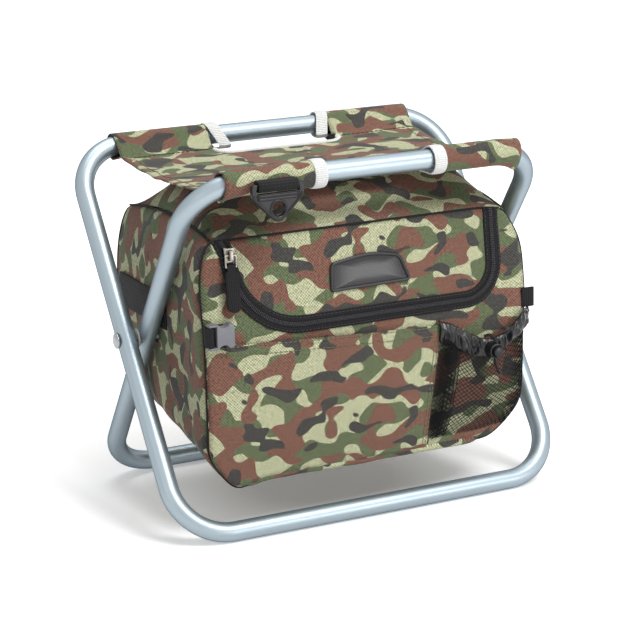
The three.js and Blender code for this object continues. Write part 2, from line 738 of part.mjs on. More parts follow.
/** U-shaped strip of the zip between two depths of the doorway outline. */
function zipStrip(outer, inner) {
  const blank = alongY(doorOutline(outer), ZIP_FRONT, ZIP_BACK);
  const opening = doorOutline(inner, -DOOR_TOP);
  return cut(blank, alongY(opening, ZIP_FRONT - OVERSHOOT, ZIP_BACK + OVERSHOOT));
}

/** Flap door with its insulation, zip tapes and plain patch. */
function door(frame) {
  piece('front_door', 'camo', alongY(doorOutline(ZIP_WIDTH + GAP), 0, FABRIC), frame);
  const padFront = FABRIC + GAP;
  const pad = doorOutline(PAD_INSET, DOOR_TOP + FABRIC);
  piece('door_insulation', 'foam', alongY(pad, padFront, padFront + PAD_DEPTH), frame);
  const middle = ZIP_WIDTH / 2;
  piece('zip_tape_fixed', 'zip', zipStrip(GAP, middle - GAP / 2), frame);
  piece('zip_tape_door', 'zip', zipStrip(middle + GAP / 2, ZIP_WIDTH), frame);
  const patch = new THREE.Shape();
  const low = PATCH_Z - PATCH_HEIGHT / 2;
  const high = PATCH_Z + PATCH_HEIGHT / 2;
  patch.moveTo(PATCH_X - PATCH_HALF, low);
  patch.lineTo(PATCH_X + PATCH_HALF, low);
  patch.lineTo(PATCH_X + PATCH_HALF - PATCH_SLANT, high);
  patch.quadraticCurveTo(PATCH_X, high + PATCH_CROWN, PATCH_X - PATCH_HALF + PATCH_LEFT_SLANT, high);
  piece('door_patch', 'patch', alongY(patch, -GAP - PATCH_THICKNESS, -GAP), frame);
}

/** Zip slider at the top of the left corner's arc, with its wire link and pull tab. */
function zipPull(frame) {
  const start = Math.asin((SLIDER_Z - ZIP_TURN_Z) / ZIP_RUN_RADIUS);
  const holder = new THREE.Group();
  holder.position.set(ZIP_TURN_X - ZIP_RUN_RADIUS * Math.cos(start), ZIP_FRONT - GAP, SLIDER_Z);
  holder.rotation.y = start;
  const body = new THREE.Shape();
  const half = SLIDER_LENGTH / 2;
  body.moveTo(-SLIDER_HALF, half);
  body.quadraticCurveTo(0, half - SLIDER_DIP, SLIDER_HALF, half);
  body.lineTo(SLIDER_HALF * SLIDER_TAPER, -half);
  body.lineTo(-SLIDER_HALF * SLIDER_TAPER, -half);
  const [holeLength, holeHeight] = BRIDGE_HOLE;
  const arch = rectangle(-SLIDER_DEPTH - BRIDGE_HEIGHT, -BRIDGE_LENGTH / 2, 0, BRIDGE_LENGTH / 2);
  const eye = rectangle(-SLIDER_DEPTH - holeHeight, -holeLength / 2, -SLIDER_DEPTH, holeLength / 2);
  const bridge = cut(alongX(arch, -BRIDGE_HALF, BRIDGE_HALF), alongX(eye, -SLIDER_HALF, SLIDER_HALF));
  piece('zip_slider', 'slider', join(alongY(body, -SLIDER_DEPTH, 0), bridge), holder);

  const wireY = -SLIDER_DEPTH - holeHeight / 2;
  const wireHalf = LINK_WIRE / 2;
  const linkLow = wireHalf - LINK_LENGTH;
  const link = rectangle(-LINK_HALF, linkLow, LINK_HALF, wireHalf);
  const linkInside = LINK_HALF - LINK_WIRE;
  link.holes.push(rectangle(-linkInside, linkLow + LINK_WIRE, linkInside, wireHalf - LINK_WIRE));
  piece('zip_pull_link', 'slider', alongY(link, wireY - wireHalf, wireY + wireHalf), holder);
  const barZ = LINK_WIRE - LINK_LENGTH;
  const top = barZ + TAB_BORE;
  const tab = new THREE.Shape();
  tab.moveTo(-TAB_NECK_HALF, top);
  tab.lineTo(-TAB_NECK_HALF, top - TAB_NECK);
  tab.lineTo(-TAB_HALF, top - TAB_SHOULDER);
  tab.lineTo(-TAB_HALF, top - TAB_LENGTH + TAB_HALF);
  tab.absarc(0, top - TAB_LENGTH + TAB_HALF, TAB_HALF, HALF_TURN, FULL_TURN, false);
  tab.lineTo(TAB_HALF, top - TAB_SHOULDER);
  tab.lineTo(TAB_NECK_HALF, top - TAB_NECK);
  tab.lineTo(TAB_NECK_HALF, top);
  const bore = alongX(
    rectangle(wireY - TAB_BORE / 2, barZ - TAB_BORE / 2, wireY + TAB_BORE / 2, barZ + TAB_BORE / 2),
    -TAB_HALF,
    TAB_HALF,
  );
  const strip = alongY(tab, wireY - TAB_THICKNESS / 2, wireY + TAB_THICKNESS / 2);
  piece('zip_pull_tab', 'webbing', cut(strip, bore), holder);
  frame.add(holder);
}

/** Slip pocket: a shallow pouch over the lower left of the front that draws in to its open mouth. */
function slipPocket() {
  const outline = (rim, top) => {
    const left = -POCKET_LEFT + rim;
    const bottom = POCKET_BOTTOM + rim;
    const corner = POCKET_CORNER - rim;
    const shape = new THREE.Shape();
    shape.moveTo(left, top);
    shape.lineTo(left, bottom + corner);
    shape.absarc(left + corner, bottom + corner, corner, HALF_TURN, 1.5 * HALF_TURN, false);
    shape.lineTo(POCKET_RIGHT_BOTTOM - rim, bottom);
    shape.lineTo(POCKET_RIGHT_TOP - rim, top);
    return shape;
  };
  const layer = (near, far) => alongX(panelBand(FRONT_EDGES, near, far), -BAG_HALF, BAG_HALF);
  const over = POCKET_TOP + 2 * POCKET_RIM;
  const drawn = (wall) => {
    const front = FRONT_Y + wall;
    const corners = [
      [front - POCKET_DEPTH, POCKET_FULL_Z],
      [front - POCKET_MOUTH, POCKET_TOP],
      [front - POCKET_MOUTH, over],
      [front - 2 * POCKET_DEPTH, over],
      [front - 2 * POCKET_DEPTH, POCKET_FULL_Z],
    ];
    return alongX(polygon(corners), -BAG_HALF, BAG_HALF);
  };
  const pouch = common(alongY(outline(0, POCKET_TOP), -2 * BAG_REACH, 0), layer(-POCKET_DEPTH, -GAP));
  const inside = common(
    alongY(outline(POCKET_RIM, POCKET_TOP + POCKET_RIM), -2 * BAG_REACH, 0),
    layer(FABRIC - POCKET_DEPTH, 0),
  );
  piece('front_pocket', 'camo', cut(cut(pouch, drawn(0)), cut(inside, drawn(FABRIC))));
}

/** Plan of the net's bulge in front of the bag, as a shallow arc. */
function bulgePlan(bulge, rim) {
  const left = NET_LEFT + rim;
  const right = NET_RIGHT - rim;
  const back = FRONT_Y - GAP;
  const shape = new THREE.Shape();
  shape.moveTo(right, back);
  shape.lineTo(left, back);
  const pull = back - ARC_PULL * bulge;
  shape.bezierCurveTo(left, pull, right, pull, right, back);
  return shape;
}

/** Leans the left edge of the net pocket out towards its bottom, beside the slip pocket's slanted edge. */
function slantLeft(geometry) {
  const place = geometry.attributes.position;
  for (let i = 0; i < place.count; i++) {
    const low = (POCKET_TOP - place.getZ(i)) / (POCKET_TOP - POCKET_BOTTOM);
    const left = (NET_RIGHT - place.getX(i)) / (NET_RIGHT - NET_LEFT);
    place.setX(i, place.getX(i) - NET_SLANT * low * left);
  }
  return geometry;
}

/** Net pocket at the lower right, with its gathered hem that hangs in a swag. */
function netPocket() {
  const deep = 2 * BAG_REACH;
  const middle = (NET_LEFT + NET_RIGHT) / 2;
  const outline = (rim, top, sag) => {
    const right = NET_RIGHT - rim;
    const bottom = POCKET_BOTTOM + rim;
    const corner = POCKET_CORNER - rim;
    const shape = new THREE.Shape();
    shape.moveTo(NET_LEFT, bottom);
    shape.lineTo(right - corner, bottom);
    shape.absarc(right - corner, bottom + corner, corner, 1.5 * HALF_TURN, FULL_TURN, false);
    shape.lineTo(right, top);
    shape.quadraticCurveTo(middle, top - 2 * sag, NET_LEFT, top);
    return alongY(shape, -deep, 0, NET_STEPS);
  };
  const bulge = (height, rim) => alongZ(bulgePlan(height, rim), -OVERSHOOT, deep, NET_STEPS);
  const hollow = bulge(NET_BULGE - NET_WALL, NET_WALL).translate(0, GAP, 0);
  const pouch = common(outline(0, NET_TOP, HEM_SAG), bulge(NET_BULGE, 0));
  const inside = common(outline(NET_WALL, deep, 0), hollow);
  piece('net_pocket', 'net', slantLeft(cut(pouch, inside)));

  const hemBottom = NET_TOP + GAP;
  const hemTop = hemBottom + HEM_HEIGHT;
  const front = new THREE.Shape();
  front.moveTo(NET_LEFT, hemBottom);
  front.quadraticCurveTo(middle, hemBottom - 2 * HEM_SAG, NET_RIGHT, hemBottom);
  front.lineTo(NET_RIGHT, hemTop);
  front.quadraticCurveTo(middle, hemTop - 2 * HEM_SAG, NET_LEFT, hemTop);
  const band = cut(bulge(NET_BULGE + HEM_PROUD, 0), hollow);
  piece('net_pocket_hem', 'webbing', slantLeft(common(band, alongY(front, -deep, 0, NET_STEPS))));
}

/** Cord lock: a barrel with a cross hole, a push button with a cross slot, and the drawcord through both. */
function cordLock() {
  const at = (depth) => LOCK_BACK - depth;
  const along = (radius, start, end) => {
    return alongY(circle(LOCK_X, LOCK_Z, radius), at(end), at(start), ROUND_STEPS);
  };
  const barrel = cut(
    along(LOCK_RADIUS, 0, LOCK_LENGTH),
    along(LOCK_BORE, LOCK_FLOOR, LOCK_LENGTH + OVERSHOOT),
    alongZ(circle(LOCK_X, CORD_Y, CORD_HOLE), LOCK_Z - 2 * LOCK_RADIUS, LOCK_Z + 2 * LOCK_RADIUS),
  );
  piece('cord_lock_barrel', 'moulded', barrel);
  const slot = alongZ(
    rectangle(LOCK_X - CORD_HOLE, at(BUTTON_SLOT[1]), LOCK_X + CORD_HOLE, at(BUTTON_SLOT[0])),
    LOCK_Z - LOCK_RADIUS,
    LOCK_Z + LOCK_RADIUS,
  );
  piece('cord_lock_button', 'moulded', cut(along(BUTTON_RADIUS, BUTTON_START, BUTTON_END), slot));
  const route = CORD_POINTS.map(([across, y, over]) => new THREE.Vector3(LOCK_X + across, y, LOCK_Z + over));
  const path = new THREE.CatmullRomCurve3(route);
  const cord = new THREE.ExtrudeGeometry(circle(0, 0, CORD_RADIUS), {
    steps: CORD_STEPS,
    curveSegments: CORD_SIDES,
    extrudePath: path,
  });
  piece('hem_drawcord', 'webbing', cord);
}

/** Half of a side-release buckle on its webbing stub at the front left corner. */
function cornerBuckle() {
  const holder = new THREE.Group();
  holder.position.set(BUCKLE_X, BUCKLE_Y, BUCKLE_Z);
  const shape = new THREE.Shape();
  const waist = BUCKLE_HALF - BUCKLE_NOTCH;
  const [mouthHalf, mouthDepth, mouthLength] = BUCKLE_MOUTH;
  const [shoulder, ease, narrow, widen, lip] = BUCKLE_NOTCH_RUN;
  shape.moveTo(-BUCKLE_BAR, -BUCKLE_HALF);
  shape.lineTo(shoulder, -BUCKLE_HALF);
  shape.quadraticCurveTo(ease, -waist, narrow, -waist);
  shape.quadraticCurveTo(widen, -waist, lip, -BUCKLE_HALF);
  shape.lineTo(BUCKLE_LENGTH, -BUCKLE_HALF + BUCKLE_CHAMFER);
  shape.lineTo(BUCKLE_LENGTH, BUCKLE_HALF - BUCKLE_CHAMFER);
  shape.lineTo(lip, BUCKLE_HALF);
  shape.quadraticCurveTo(widen, waist, narrow, waist);
  shape.quadraticCurveTo(ease, waist, shoulder, BUCKLE_HALF);
  shape.lineTo(-BUCKLE_BAR, BUCKLE_HALF);
  shape.holes.push(rectangle(BUCKLE_BAR, -BUCKLE_SLOT_HALF, BUCKLE_SLOT_END, BUCKLE_SLOT_HALF));
  const half = BUCKLE_DEPTH / 2;
  const body = alongY(shape, -half, half);
  const narrowHalf = waist - BUCKLE_WALL;
  const open = BUCKLE_LENGTH + OVERSHOOT;
  const throat = rectangle(-mouthDepth, -narrowHalf, mouthDepth, narrowHalf);
  const mouth = alongX(throat, BUCKLE_LENGTH - mouthLength, open);
  const flare = alongX(rectangle(-mouthDepth, -mouthHalf, mouthDepth, mouthHalf), lip, open);
  const barSide = rectangle(-BUCKLE_BAR - OVERSHOOT, -BUCKLE_SLOT_HALF, BUCKLE_BAR + GAP, BUCKLE_SLOT_HALF);
  const thin = [-1, 1].map((way) => {
    const [low, high] = way < 0 ? [-half - OVERSHOOT, -BUCKLE_BAR] : [BUCKLE_BAR, half + OVERSHOOT];
    return alongY(barSide, low, high);
  });
  piece('corner_buckle', 'buckle', cut(body, mouth, flare, ...thin), holder);

  const outer = STUB_BORE + STUB_THICKNESS;
  const stubTail = new THREE.Shape();
  const seamX = -BAG_HALF - GAP - BUCKLE_X;
  const seamY = FRONT_Y + STUB_SEWN - BUCKLE_Y;
  stubTail.moveTo(0, outer);
  stubTail.lineTo(0, STUB_BORE);
  stubTail.lineTo(seamX - STUB_THICKNESS, STUB_BORE);
  stubTail.lineTo(seamX - STUB_THICKNESS, seamY);
  stubTail.lineTo(seamX, seamY);
  stubTail.lineTo(seamX, outer);
  const fold = alongZ(circle(0, 0, outer), -STUB_HALF, STUB_HALF, ROUND_STEPS);
  const bore = alongZ(circle(0, 0, STUB_BORE), -BUCKLE_HALF, BUCKLE_HALF, ROUND_STEPS);
  const stub = cut(join(fold, alongZ(stubTail, -STUB_HALF, STUB_HALF)), bore);
  piece('buckle_webbing', 'webbing', stub, holder);
  stool.add(holder);
}

/** Folded webbing tab at the front right corner and the webbing bands on both sides. */
function sideWebbing() {
  const half = SIDE_TAB_THICKNESS / 2;
  const start = BAG_HALF + GAP;
  const fold = new THREE.Shape();
  fold.moveTo(start, SIDE_TAB_Y - half);
  fold.lineTo(start + TAB_OUT - half, SIDE_TAB_Y - half);
  fold.absarc(start + TAB_OUT - half, SIDE_TAB_Y, half, -HALF_TURN / 2, HALF_TURN / 2, false);
  fold.lineTo(start, SIDE_TAB_Y + half);
  piece('side_tab_right', 'webbing', alongZ(fold, ...SIDE_TAB_Z));
  const strip = rectangle(BAND_Y[0], BAND_Z[0], BAND_Y[1], BAND_Z[1]);
  piece('side_band_right', 'webbing', alongX(strip, start, start + BAND_THICKNESS));
  piece('side_band_left', 'webbing', alongX(strip, -start - BAND_THICKNESS, -start));
}

frameLoop('outer_tube', OUTER_WIDTH, LEAN);
frameLoop('inner_tube', INNER_WIDTH, -LEAN);
pivot(-1, 'left');
pivot(1, 'right');
seat();
barFabric('front', 1, INNER_WIDTH, FRONT_HALF);
barFabric('rear', -1, OUTER_WIDTH, REAR_HALF);
strapRing('front');
strapRing('rear');
bagBody();
const leaningFront = doorFrame();
door(leaningFront);
zipPull(leaningFront);
slipPocket();
netPocket();
cordLock();
cornerBuckle();
sideWebbing();

export default stool;
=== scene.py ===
"""Looks of the folding cooler stool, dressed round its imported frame. Metres, +Z up, the front faces -Y."""

import logging
import math
from collections.abc import Callable, Sequence
from dataclasses import dataclass, field
from enum import Enum

import bmesh
import bpy
import numpy as np
from mathutils import Matrix, Vector


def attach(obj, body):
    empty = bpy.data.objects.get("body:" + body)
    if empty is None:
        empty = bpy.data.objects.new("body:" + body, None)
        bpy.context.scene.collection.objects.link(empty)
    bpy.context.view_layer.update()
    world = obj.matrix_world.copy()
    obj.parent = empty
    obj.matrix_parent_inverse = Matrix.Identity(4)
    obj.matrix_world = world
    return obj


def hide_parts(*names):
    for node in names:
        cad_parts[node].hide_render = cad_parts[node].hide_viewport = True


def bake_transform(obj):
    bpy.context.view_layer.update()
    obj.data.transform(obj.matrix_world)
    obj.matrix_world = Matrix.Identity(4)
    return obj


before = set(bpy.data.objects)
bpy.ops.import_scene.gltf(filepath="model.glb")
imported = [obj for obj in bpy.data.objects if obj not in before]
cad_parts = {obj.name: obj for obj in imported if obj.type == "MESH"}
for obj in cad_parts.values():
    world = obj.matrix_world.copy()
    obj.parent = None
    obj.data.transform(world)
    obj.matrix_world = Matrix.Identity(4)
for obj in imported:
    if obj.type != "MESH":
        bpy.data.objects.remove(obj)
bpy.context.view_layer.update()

LOG = logging.getLogger("cooler_stool")
MM = 0.001
CLOTH_MAP = "cloth"
FORWARD = (0.0, -1.0, 0.0)
UPWARD = (0.0, 0.0, 1.0)
SIDES = (("left", -1), ("right", 1))
# A point in the bag; its panels face away from it.
INSIDE = (0.0, 0.0, 0.14)
CORNER_STEPS = 9
TURN_STEPS = 40
PUFF_FRAMES = 20
# Where each panel was cut from the printed cloth.
PRINT_CUT = {
    "sling": (0.9, 0.4),
    "back": (0.5, 0.3),
    "sides": (0.7, 0.2),
    "top": (0.35, 1.1),
    "door": (0.013, 0.021),
    "pocket": (0.047, 0.159),
}
Array = np.ndarray
Pair = tuple[float, float]
Triple = tuple[float, float, float]
Numbers = tuple[float, ...]
Print = tuple[str, float, Triple, float]
Object = bpy.types.Object
Tree = bpy.types.NodeTree
Node = bpy.types.Node
Socket = bpy.types.NodeSocket


class Body(str, Enum):
    """The moving bodies of the stool."""

    BAG = "bag"
    OUTER = "outer_frame"
    INNER = "inner_frame"
    RING_FRONT = "strap_ring_front"
    RING_REAR = "strap_ring_rear"
    DOOR = "door"
    SLIDER = "zip_slider"
    PULL = "zip_pull"
    BUCKLE = "buckle"
    LOCK_BUTTON = "cord_lock_button"


class Place(Enum):
    """The two ends of the seat; the value is the sign of Y."""

    FRONT = -1
    REAR = 1

    @property
    def word(self) -> str:
        """The end's name as it stands in piece names."""
        return self.name.lower()

    @property
    def body(self) -> Body:
        """The tube loop whose top bar is at this end."""
        return Body.INNER if self is Place.FRONT else Body.OUTER


# Nodes and materials


def linear(hex_code: str) -> tuple[float, float, float, float]:
    """Turns an sRGB hex code into a linear colour.

    Args:
        hex_code: Six hex digits.

    Returns:
        The colour as red, green, blue and alpha.
    """
    parts = [int(hex_code[i : i + 2], 16) / 255 for i in (0, 2, 4)]
    made = [c / 12.92 if c <= 0.04045 else ((c + 0.055) / 1.055) ** 2.4 for c in parts]
    return (*made, 1.0)


def wire(tree: Tree, node: Node, settings: dict | None = None, links: dict | None = None) -> Node:
    """Gives a node its settings and links.

    Args:
        tree: The node's tree.
        node: The node.
        settings: Properties of the node, or values of its inputs by name or number.
        links: Output sockets to join to inputs, by name or number.

    Returns:
        The same node.
    """
    for key, value in (settings or {}).items():
        if isinstance(key, str) and hasattr(node, key):
            setattr(node, key, value)
        else:
            node.inputs[key].default_value = value
    for key, socket in (links or {}).items():
        tree.links.new(socket, node.inputs[key])
    return node


def add_node(tree: Tree, kind: str, settings: dict | None = None, links: dict | None = None) -> Node:
    """Adds a node to a tree, with settings and links as in wire."""
    return wire(tree, tree.nodes.new(kind), settings, links)


def calc(tree: Tree, operation: str, *terms: Socket | float) -> Socket:
    """Adds a step of arithmetic.

    Args:
        tree: The tree that gets the step.
        operation: Its kind.
        *terms: Sockets and numbers that it works on.

    Returns:
        The result's socket.
    """
    numbers = {slot: term for slot, term in enumerate(terms) if not isinstance(term, Socket)}
    sockets = {slot: term for slot, term in enumerate(terms) if isinstance(term, Socket)}
    return add_node(tree, "ShaderNodeMath", {"operation": operation, **numbers}, sockets).outputs[0]


def noise(tree: Tree, vector: Socket, size: float, detail: float = 0.0, plane: str = "2D") -> Node:
    """Adds noise with spots of a size in metres and a number of finer layers."""
    settings = {"noise_dimensions": plane, "Scale": 1 / size, "Detail": detail}
    return add_node(tree, "ShaderNodeTexNoise", settings, {"Vector": vector})


def ramp(tree: Tree, value: Socket, given: Sequence[float], made: Sequence[float]) -> Socket:
    """Adds a map from one range of values to another."""
    ends = dict(enumerate((*given, *made), 1))
    return add_node(tree, "ShaderNodeMapRange", ends, {0: value}).outputs[0]


def waves(tree: Tree, vector: Socket, lengths: Sequence[float]) -> list[Socket]:
    """Adds sine waves along the first two coordinates.

    Args:
        tree: The tree that gets the waves.
        vector: Coordinates in metres.
        lengths: Length of each wave.

    Returns:
        The waves' sockets.
    """
    axes = add_node(tree, "ShaderNodeSeparateXYZ", None, {0: vector}).outputs
    phases = [calc(tree, "MULTIPLY", axis, 2 * math.pi / length) for axis, length in zip(axes, lengths)]
    return [calc(tree, "SINE", phase) for phase in phases]


def surface(tree: Tree) -> Socket:
    """Adds coordinates of the surface in metres."""
    return add_node(tree, "ShaderNodeTexCoord").outputs["Object"]


def dyed(tree: Tree, colour: str, value: Socket) -> Socket:
    """Adds a colour whose brightness follows a socket."""
    return add_node(tree, "ShaderNodeHueSaturation", {"Color": linear(colour)}, {"Value": value}).outputs[0]


def bumped(tree: Tree, height: Socket, strength: float, depth: float) -> Socket:
    """Adds a bump of a depth in metres."""
    settings = {"Strength": strength, "Distance": depth}
    return add_node(tree, "ShaderNodeBump", settings, {"Height": height}).outputs[0]


def grain(tree: Tree, vector: Socket, size: float, depth: float) -> Socket:
    """Adds a fine random bump with grains of a size and depth in metres."""
    return bumped(tree, noise(tree, vector, size, 2.0, "3D").outputs[0], 1.0, depth)


@dataclass(frozen=True)
class Finish:
    """A finish: its material's name and the record's slot that it belongs to."""

    label: str
    slot: str

    def material(self) -> bpy.types.Material:
        """The finish's material, made on first use.

        Returns:
            The material.
        """
        found = bpy.data.materials.get(self.label)
        if found:
            return found
        made = bpy.data.materials.new(self.label)
        made.use_nodes = True
        tree = made.node_tree
        self.paint(tree, tree.nodes["Principled BSDF"])
        return made

    def paint(self, tree: Tree, shader: Node) -> None:
        """Fills the material's tree.

        Args:
            tree: The material's node tree.
            shader: Its principled shader.
        """
        raise NotImplementedError


@dataclass(frozen=True)
class CamoCloth(Finish):
    """Printed woven polyester: a matt four-colour print over a plain weave whose threads show as fine dots.

    Each print has its colour, the level above which it covers, its stretch and its shift. The real threads
    are half as wide; they are drawn this coarse so that the weave shows.
    """

    khaki: str = "b9bb98"
    olive: Print = ("626c4e", 0.505, (0.7, 1.0, 1.0), 0.31)
    brown: Print = ("7c584a", 0.54, (0.66, 1.05, 1.0), 1.73)
    charcoal: Print = ("454340", 0.65, (0.72, 1.25, 1.0), 2.57)
    blob: float = 16.5 * MM
    print_edge: float = 0.012
    drift_scale: float = 0.8
    drift: float = 0.6
    thread: float = 1.25 * MM
    slub_scale: float = 0.6
    slub: float = 1.6
    weave_range: Pair = (-0.7, 2.3)
    weave_contrast: float = 0.62
    relief: float = 0.25 * MM

    def paint(self, tree: Tree, shader: Node) -> None:
        """Lays the four print colours over each other and weaves them.

        Args:
            tree: The material's node tree.
            shader: Its principled shader.
        """
        cloth = add_node(tree, "ShaderNodeUVMap", {"uv_map": CLOTH_MAP}).outputs[0]
        wander = noise(tree, cloth, self.blob / self.drift_scale).outputs[1]
        pull = {"operation": "MULTIPLY_ADD", 1: (self.drift * self.blob,) * 3}
        bent = add_node(tree, "ShaderNodeVectorMath", pull, {0: wander, 2: cloth}).outputs[0]
        colour = None
        for shade, level, stretch, shift in (self.olive, self.brown, self.charcoal):
            move = {"Location": (shift, 2 * shift, 0), "Rotation": (0, 0, shift), "Scale": stretch}
            place = add_node(tree, "ShaderNodeMapping", move, {"Vector": bent}).outputs[0]
            spot = noise(tree, place, self.blob).outputs[0]
            low, high = level - self.print_edge, level + self.print_edge
            soft = {"interpolation_type": "SMOOTHSTEP", 1: low, 2: high}
            edge = add_node(tree, "ShaderNodeMapRange", soft, {0: spot}).outputs[0]
            ground = {} if colour else {6: linear(self.khaki)}
            under = {6: colour} if colour else {}
            mix = {"data_type": "RGBA", 7: linear(shade), **ground}
            colour = add_node(tree, "ShaderNodeMix", mix, {0: edge, **under}).outputs[2]
        weave = calc(tree, "MULTIPLY", *waves(tree, cloth, (2 * self.thread, 2 * self.thread)))
        slub = noise(tree, cloth, self.thread / self.slub_scale).outputs[0]
        uneven = calc(tree, "MULTIPLY_ADD", slub, self.slub, weave)
        light = ramp(tree, uneven, self.weave_range, (1 - self.weave_contrast, 1 + self.weave_contrast))
        woven = add_node(tree, "ShaderNodeHueSaturation", None, {"Value": light, "Color": colour}).outputs[0]
        matt = {"Roughness": 0.82, "Specular IOR Level": 0.25, "Sheen Weight": 0.12}
        wire(tree, shader, matt, {"Base Color": woven, "Normal": bumped(tree, weave, 0.5, self.relief)})


@dataclass(frozen=True)
class PowderCoat(Finish):
    """Silver powder coat on steel tube: satin, faintly blue, with a soft orange peel."""

    colour: str = "a6b3bb"
    edge_tint: str = "3a4147"
    metallic: float = 0.8
    roughness: float = 0.4
    cloud: float = 30 * MM
    peel: Pair = (0.9 * MM, 0.02 * MM)

    def paint(self, tree: Tree, shader: Node) -> None:
        """Sets a satin metallic paint with a fine orange peel.

        Args:
            tree: The material's node tree.
            shader: Its principled shader.
        """
        place = surface(tree)
        tone = ramp(tree, noise(tree, place, self.cloud, 3.0, "3D").outputs[0], (0, 1), (0.97, 1.03))
        tint = linear(self.edge_tint)
        satin = {"Metallic": self.metallic, "Roughness": self.roughness, "Specular Tint": tint}
        links = {"Base Color": dyed(tree, self.colour, tone), "Normal": grain(tree, place, *self.peel)}
        wire(tree, shader, satin, links)


@dataclass(frozen=True)
class PlatedMetal(Finish):
    """Nickel-plated metal: bright, with a slightly brushed reflection."""

    colour: str = "a2a5a8"
    roughness: float = 0.28
    smear: float = 2 * MM

    def paint(self, tree: Tree, shader: Node) -> None:
        """Sets a bright metal with a little uneven gloss.

        Args:
            tree: The material's node tree.
            shader: Its principled shader.
        """
        place = surface(tree)
        smear = noise(tree, place, self.smear, 2.0, "3D").outputs[0]
        gloss = ramp(tree, smear, (0, 1), (self.roughness - 0.06, self.roughness + 0.1))
        wire(tree, shader, {"Base Color": linear(self.colour), "Metallic": 1.0}, {"Roughness": gloss})


@dataclass(frozen=True)
class Ribbed(Finish):
    """Woven tape or webbing: matt yarn in ribs that run across its length."""

    colour: str = "1f1f22"
    rib: float = 1.5 * MM
    contrast: float = 0.35
    roughness: float = 0.75
    yarn: float = 0.35
    relief: float = 0.3 * MM

    def paint(self, tree: Tree, shader: Node) -> None:
        """Weaves ribs across the tape and short yarns along them.

        Args:
            tree: The material's node tree.
            shader: Its principled shader.
        """
        cloth = add_node(tree, "ShaderNodeUVMap", {"uv_map": CLOTH_MAP}).outputs[0]
        ribs, yarns = waves(tree, cloth, (self.rib, 2 * self.rib))
        yarn = calc(tree, "MULTIPLY_ADD", yarns, self.yarn, ribs)
        ends = (-1 - self.yarn, 1 + self.yarn)
        tone = ramp(tree, yarn, ends, (1 - self.contrast, 1 + self.contrast))
        links = {"Base Color": dyed(tree, self.colour, tone), "Normal": bumped(tree, yarn, 0.8, self.relief)}
        wire(tree, shader, {"Roughness": self.roughness, "Specular IOR Level": 0.3}, links)


@dataclass(frozen=True)
class Moulded(Finish):
    """Injection-moulded plastic: an even colour with a spark-eroded grain that spreads the highlight."""

    colour: str = "47464b"
    roughness: float = 0.42
    grit: Pair = (0.5 * MM, 0.03 * MM)
    cloud: float = 9 * MM

    def paint(self, tree: Tree, shader: Node) -> None:
        """Sets the plastic's colour with slight flow clouds and a fine grain.

        Args:
            tree: The material's node tree.
            shader: Its principled shader.
        """
        place = surface(tree)
        tone = ramp(tree, noise(tree, place, self.cloud, 2.0, "3D").outputs[0], (0, 1), (0.9, 1.1))
        links = {"Base Color": dyed(tree, self.colour, tone), "Normal": grain(tree, place, *self.grit)}
        wire(tree, shader, {"Roughness": self.roughness, "Specular IOR Level": 0.35}, links)


@dataclass(frozen=True)
class CoatedFabric(Finish):
    """Coated cloth or foam skin: soft sheen over a pebbled surface."""

    colour: str = "4c494f"
    roughness: float = 0.4
    pebble: float = 1.2 * MM
    relief: float = 0.06 * MM

    def paint(self, tree: Tree, shader: Node) -> None:
        """Sets the coating's colour and its pebbled relief.

        Args:
            tree: The material's node tree.
            shader: Its principled shader.
        """
        place = surface(tree)
        size = {"Scale": 1 / self.pebble}
        cells = add_node(tree, "ShaderNodeTexVoronoi", size, {"Vector": place}).outputs[0]
        tone = ramp(tree, cells, (0, 1), (1.06, 0.9))
        links = {"Base Color": dyed(tree, self.colour, tone), "Normal": bumped(tree, cells, 0.6, self.relief)}
        wire(tree, shader, {"Roughness": self.roughness}, links)


CAMO = CamoCloth("woven_camouflage_polyester", "camo_cloth")
TUBE_PAINT = PowderCoat("silver_powder_coat", "silver_tube")
RIVET_METAL = PlatedMetal("plated_rivet_steel", "rivet_steel")
ZIP_METAL = PlatedMetal("nickel_zip_metal", "zip_metal", "8a857d", 0.3)
NYLON = Moulded("natural_nylon", "nylon", "e2dfd6", 0.5)
BINDING = Ribbed("white_grosgrain", "white_binding", "f2f2f0", 1.6 * MM, 0.02, 0.8)
WEBBING = Ribbed("black_polypropylene_webbing", "black_webbing", "141416", 1.7 * MM, 0.4)
ZIP_TAPE = Ribbed("black_zip_tape", "black_zip", "161618", 1.3 * MM, 0.55)
GATHERED = CoatedFabric("black_gathered_nylon", "black_webbing", "1b1b1e", 0.3, 1.0 * MM)
COIL = Moulded("black_nylon_coil", "black_zip", "37373b", 0.3)
RING_PLASTIC = Moulded("dark_grey_acetal", "dark_moulding", "1c1b1f", 0.28)
# The buckle's plastic is black; its light grey colour is a painted reflection of the bright surroundings on
# its flat face.
BUCKLE_PAINTED_REFLECTION = Moulded("grey_acetal", "grey_buckle", "7b7b82", 0.38)
PATCH_SKIN = CoatedFabric("satin_leatherette", "satin_patch", "1d1b1f", 0.27)
PATCH_EDGE = CoatedFabric("black_edge_piping", "satin_patch", "17171a", 0.4)
FOAM_SKIN = CoatedFabric("closed_cell_foam", "foam", "d6d8da", 0.75, 1.5 * MM)
LINING_SKIN = CoatedFabric("silver_peva_lining", "silver_lining", "c6cbd1", 0.3, 6 * MM, 0.2 * MM)
NET_YARN = Ribbed("black_net_yarn", "black_net", "161618", 0.8 * MM, 0.2)
# Dark piping cord; along the top's front seam it also stands in for the shadow under the top panel, a painted
# shade.
SEAM_PIPING_AND_SHADOW = Ribbed("black_seam_piping", "black_webbing", "1a1a1b", 1.2 * MM, 0.2)
PALE_THREAD = Ribbed("khaki_thread", "camo_cloth", "96916e", 0.6 * MM, 0.1)
ZIP_THREAD = Ribbed("grey_thread", "black_zip", "505054", 0.6 * MM, 0.1)
DARK_THREAD = Ribbed("dark_thread", "camo_cloth", "50503c", 0.6 * MM, 0.1)


# Meshes


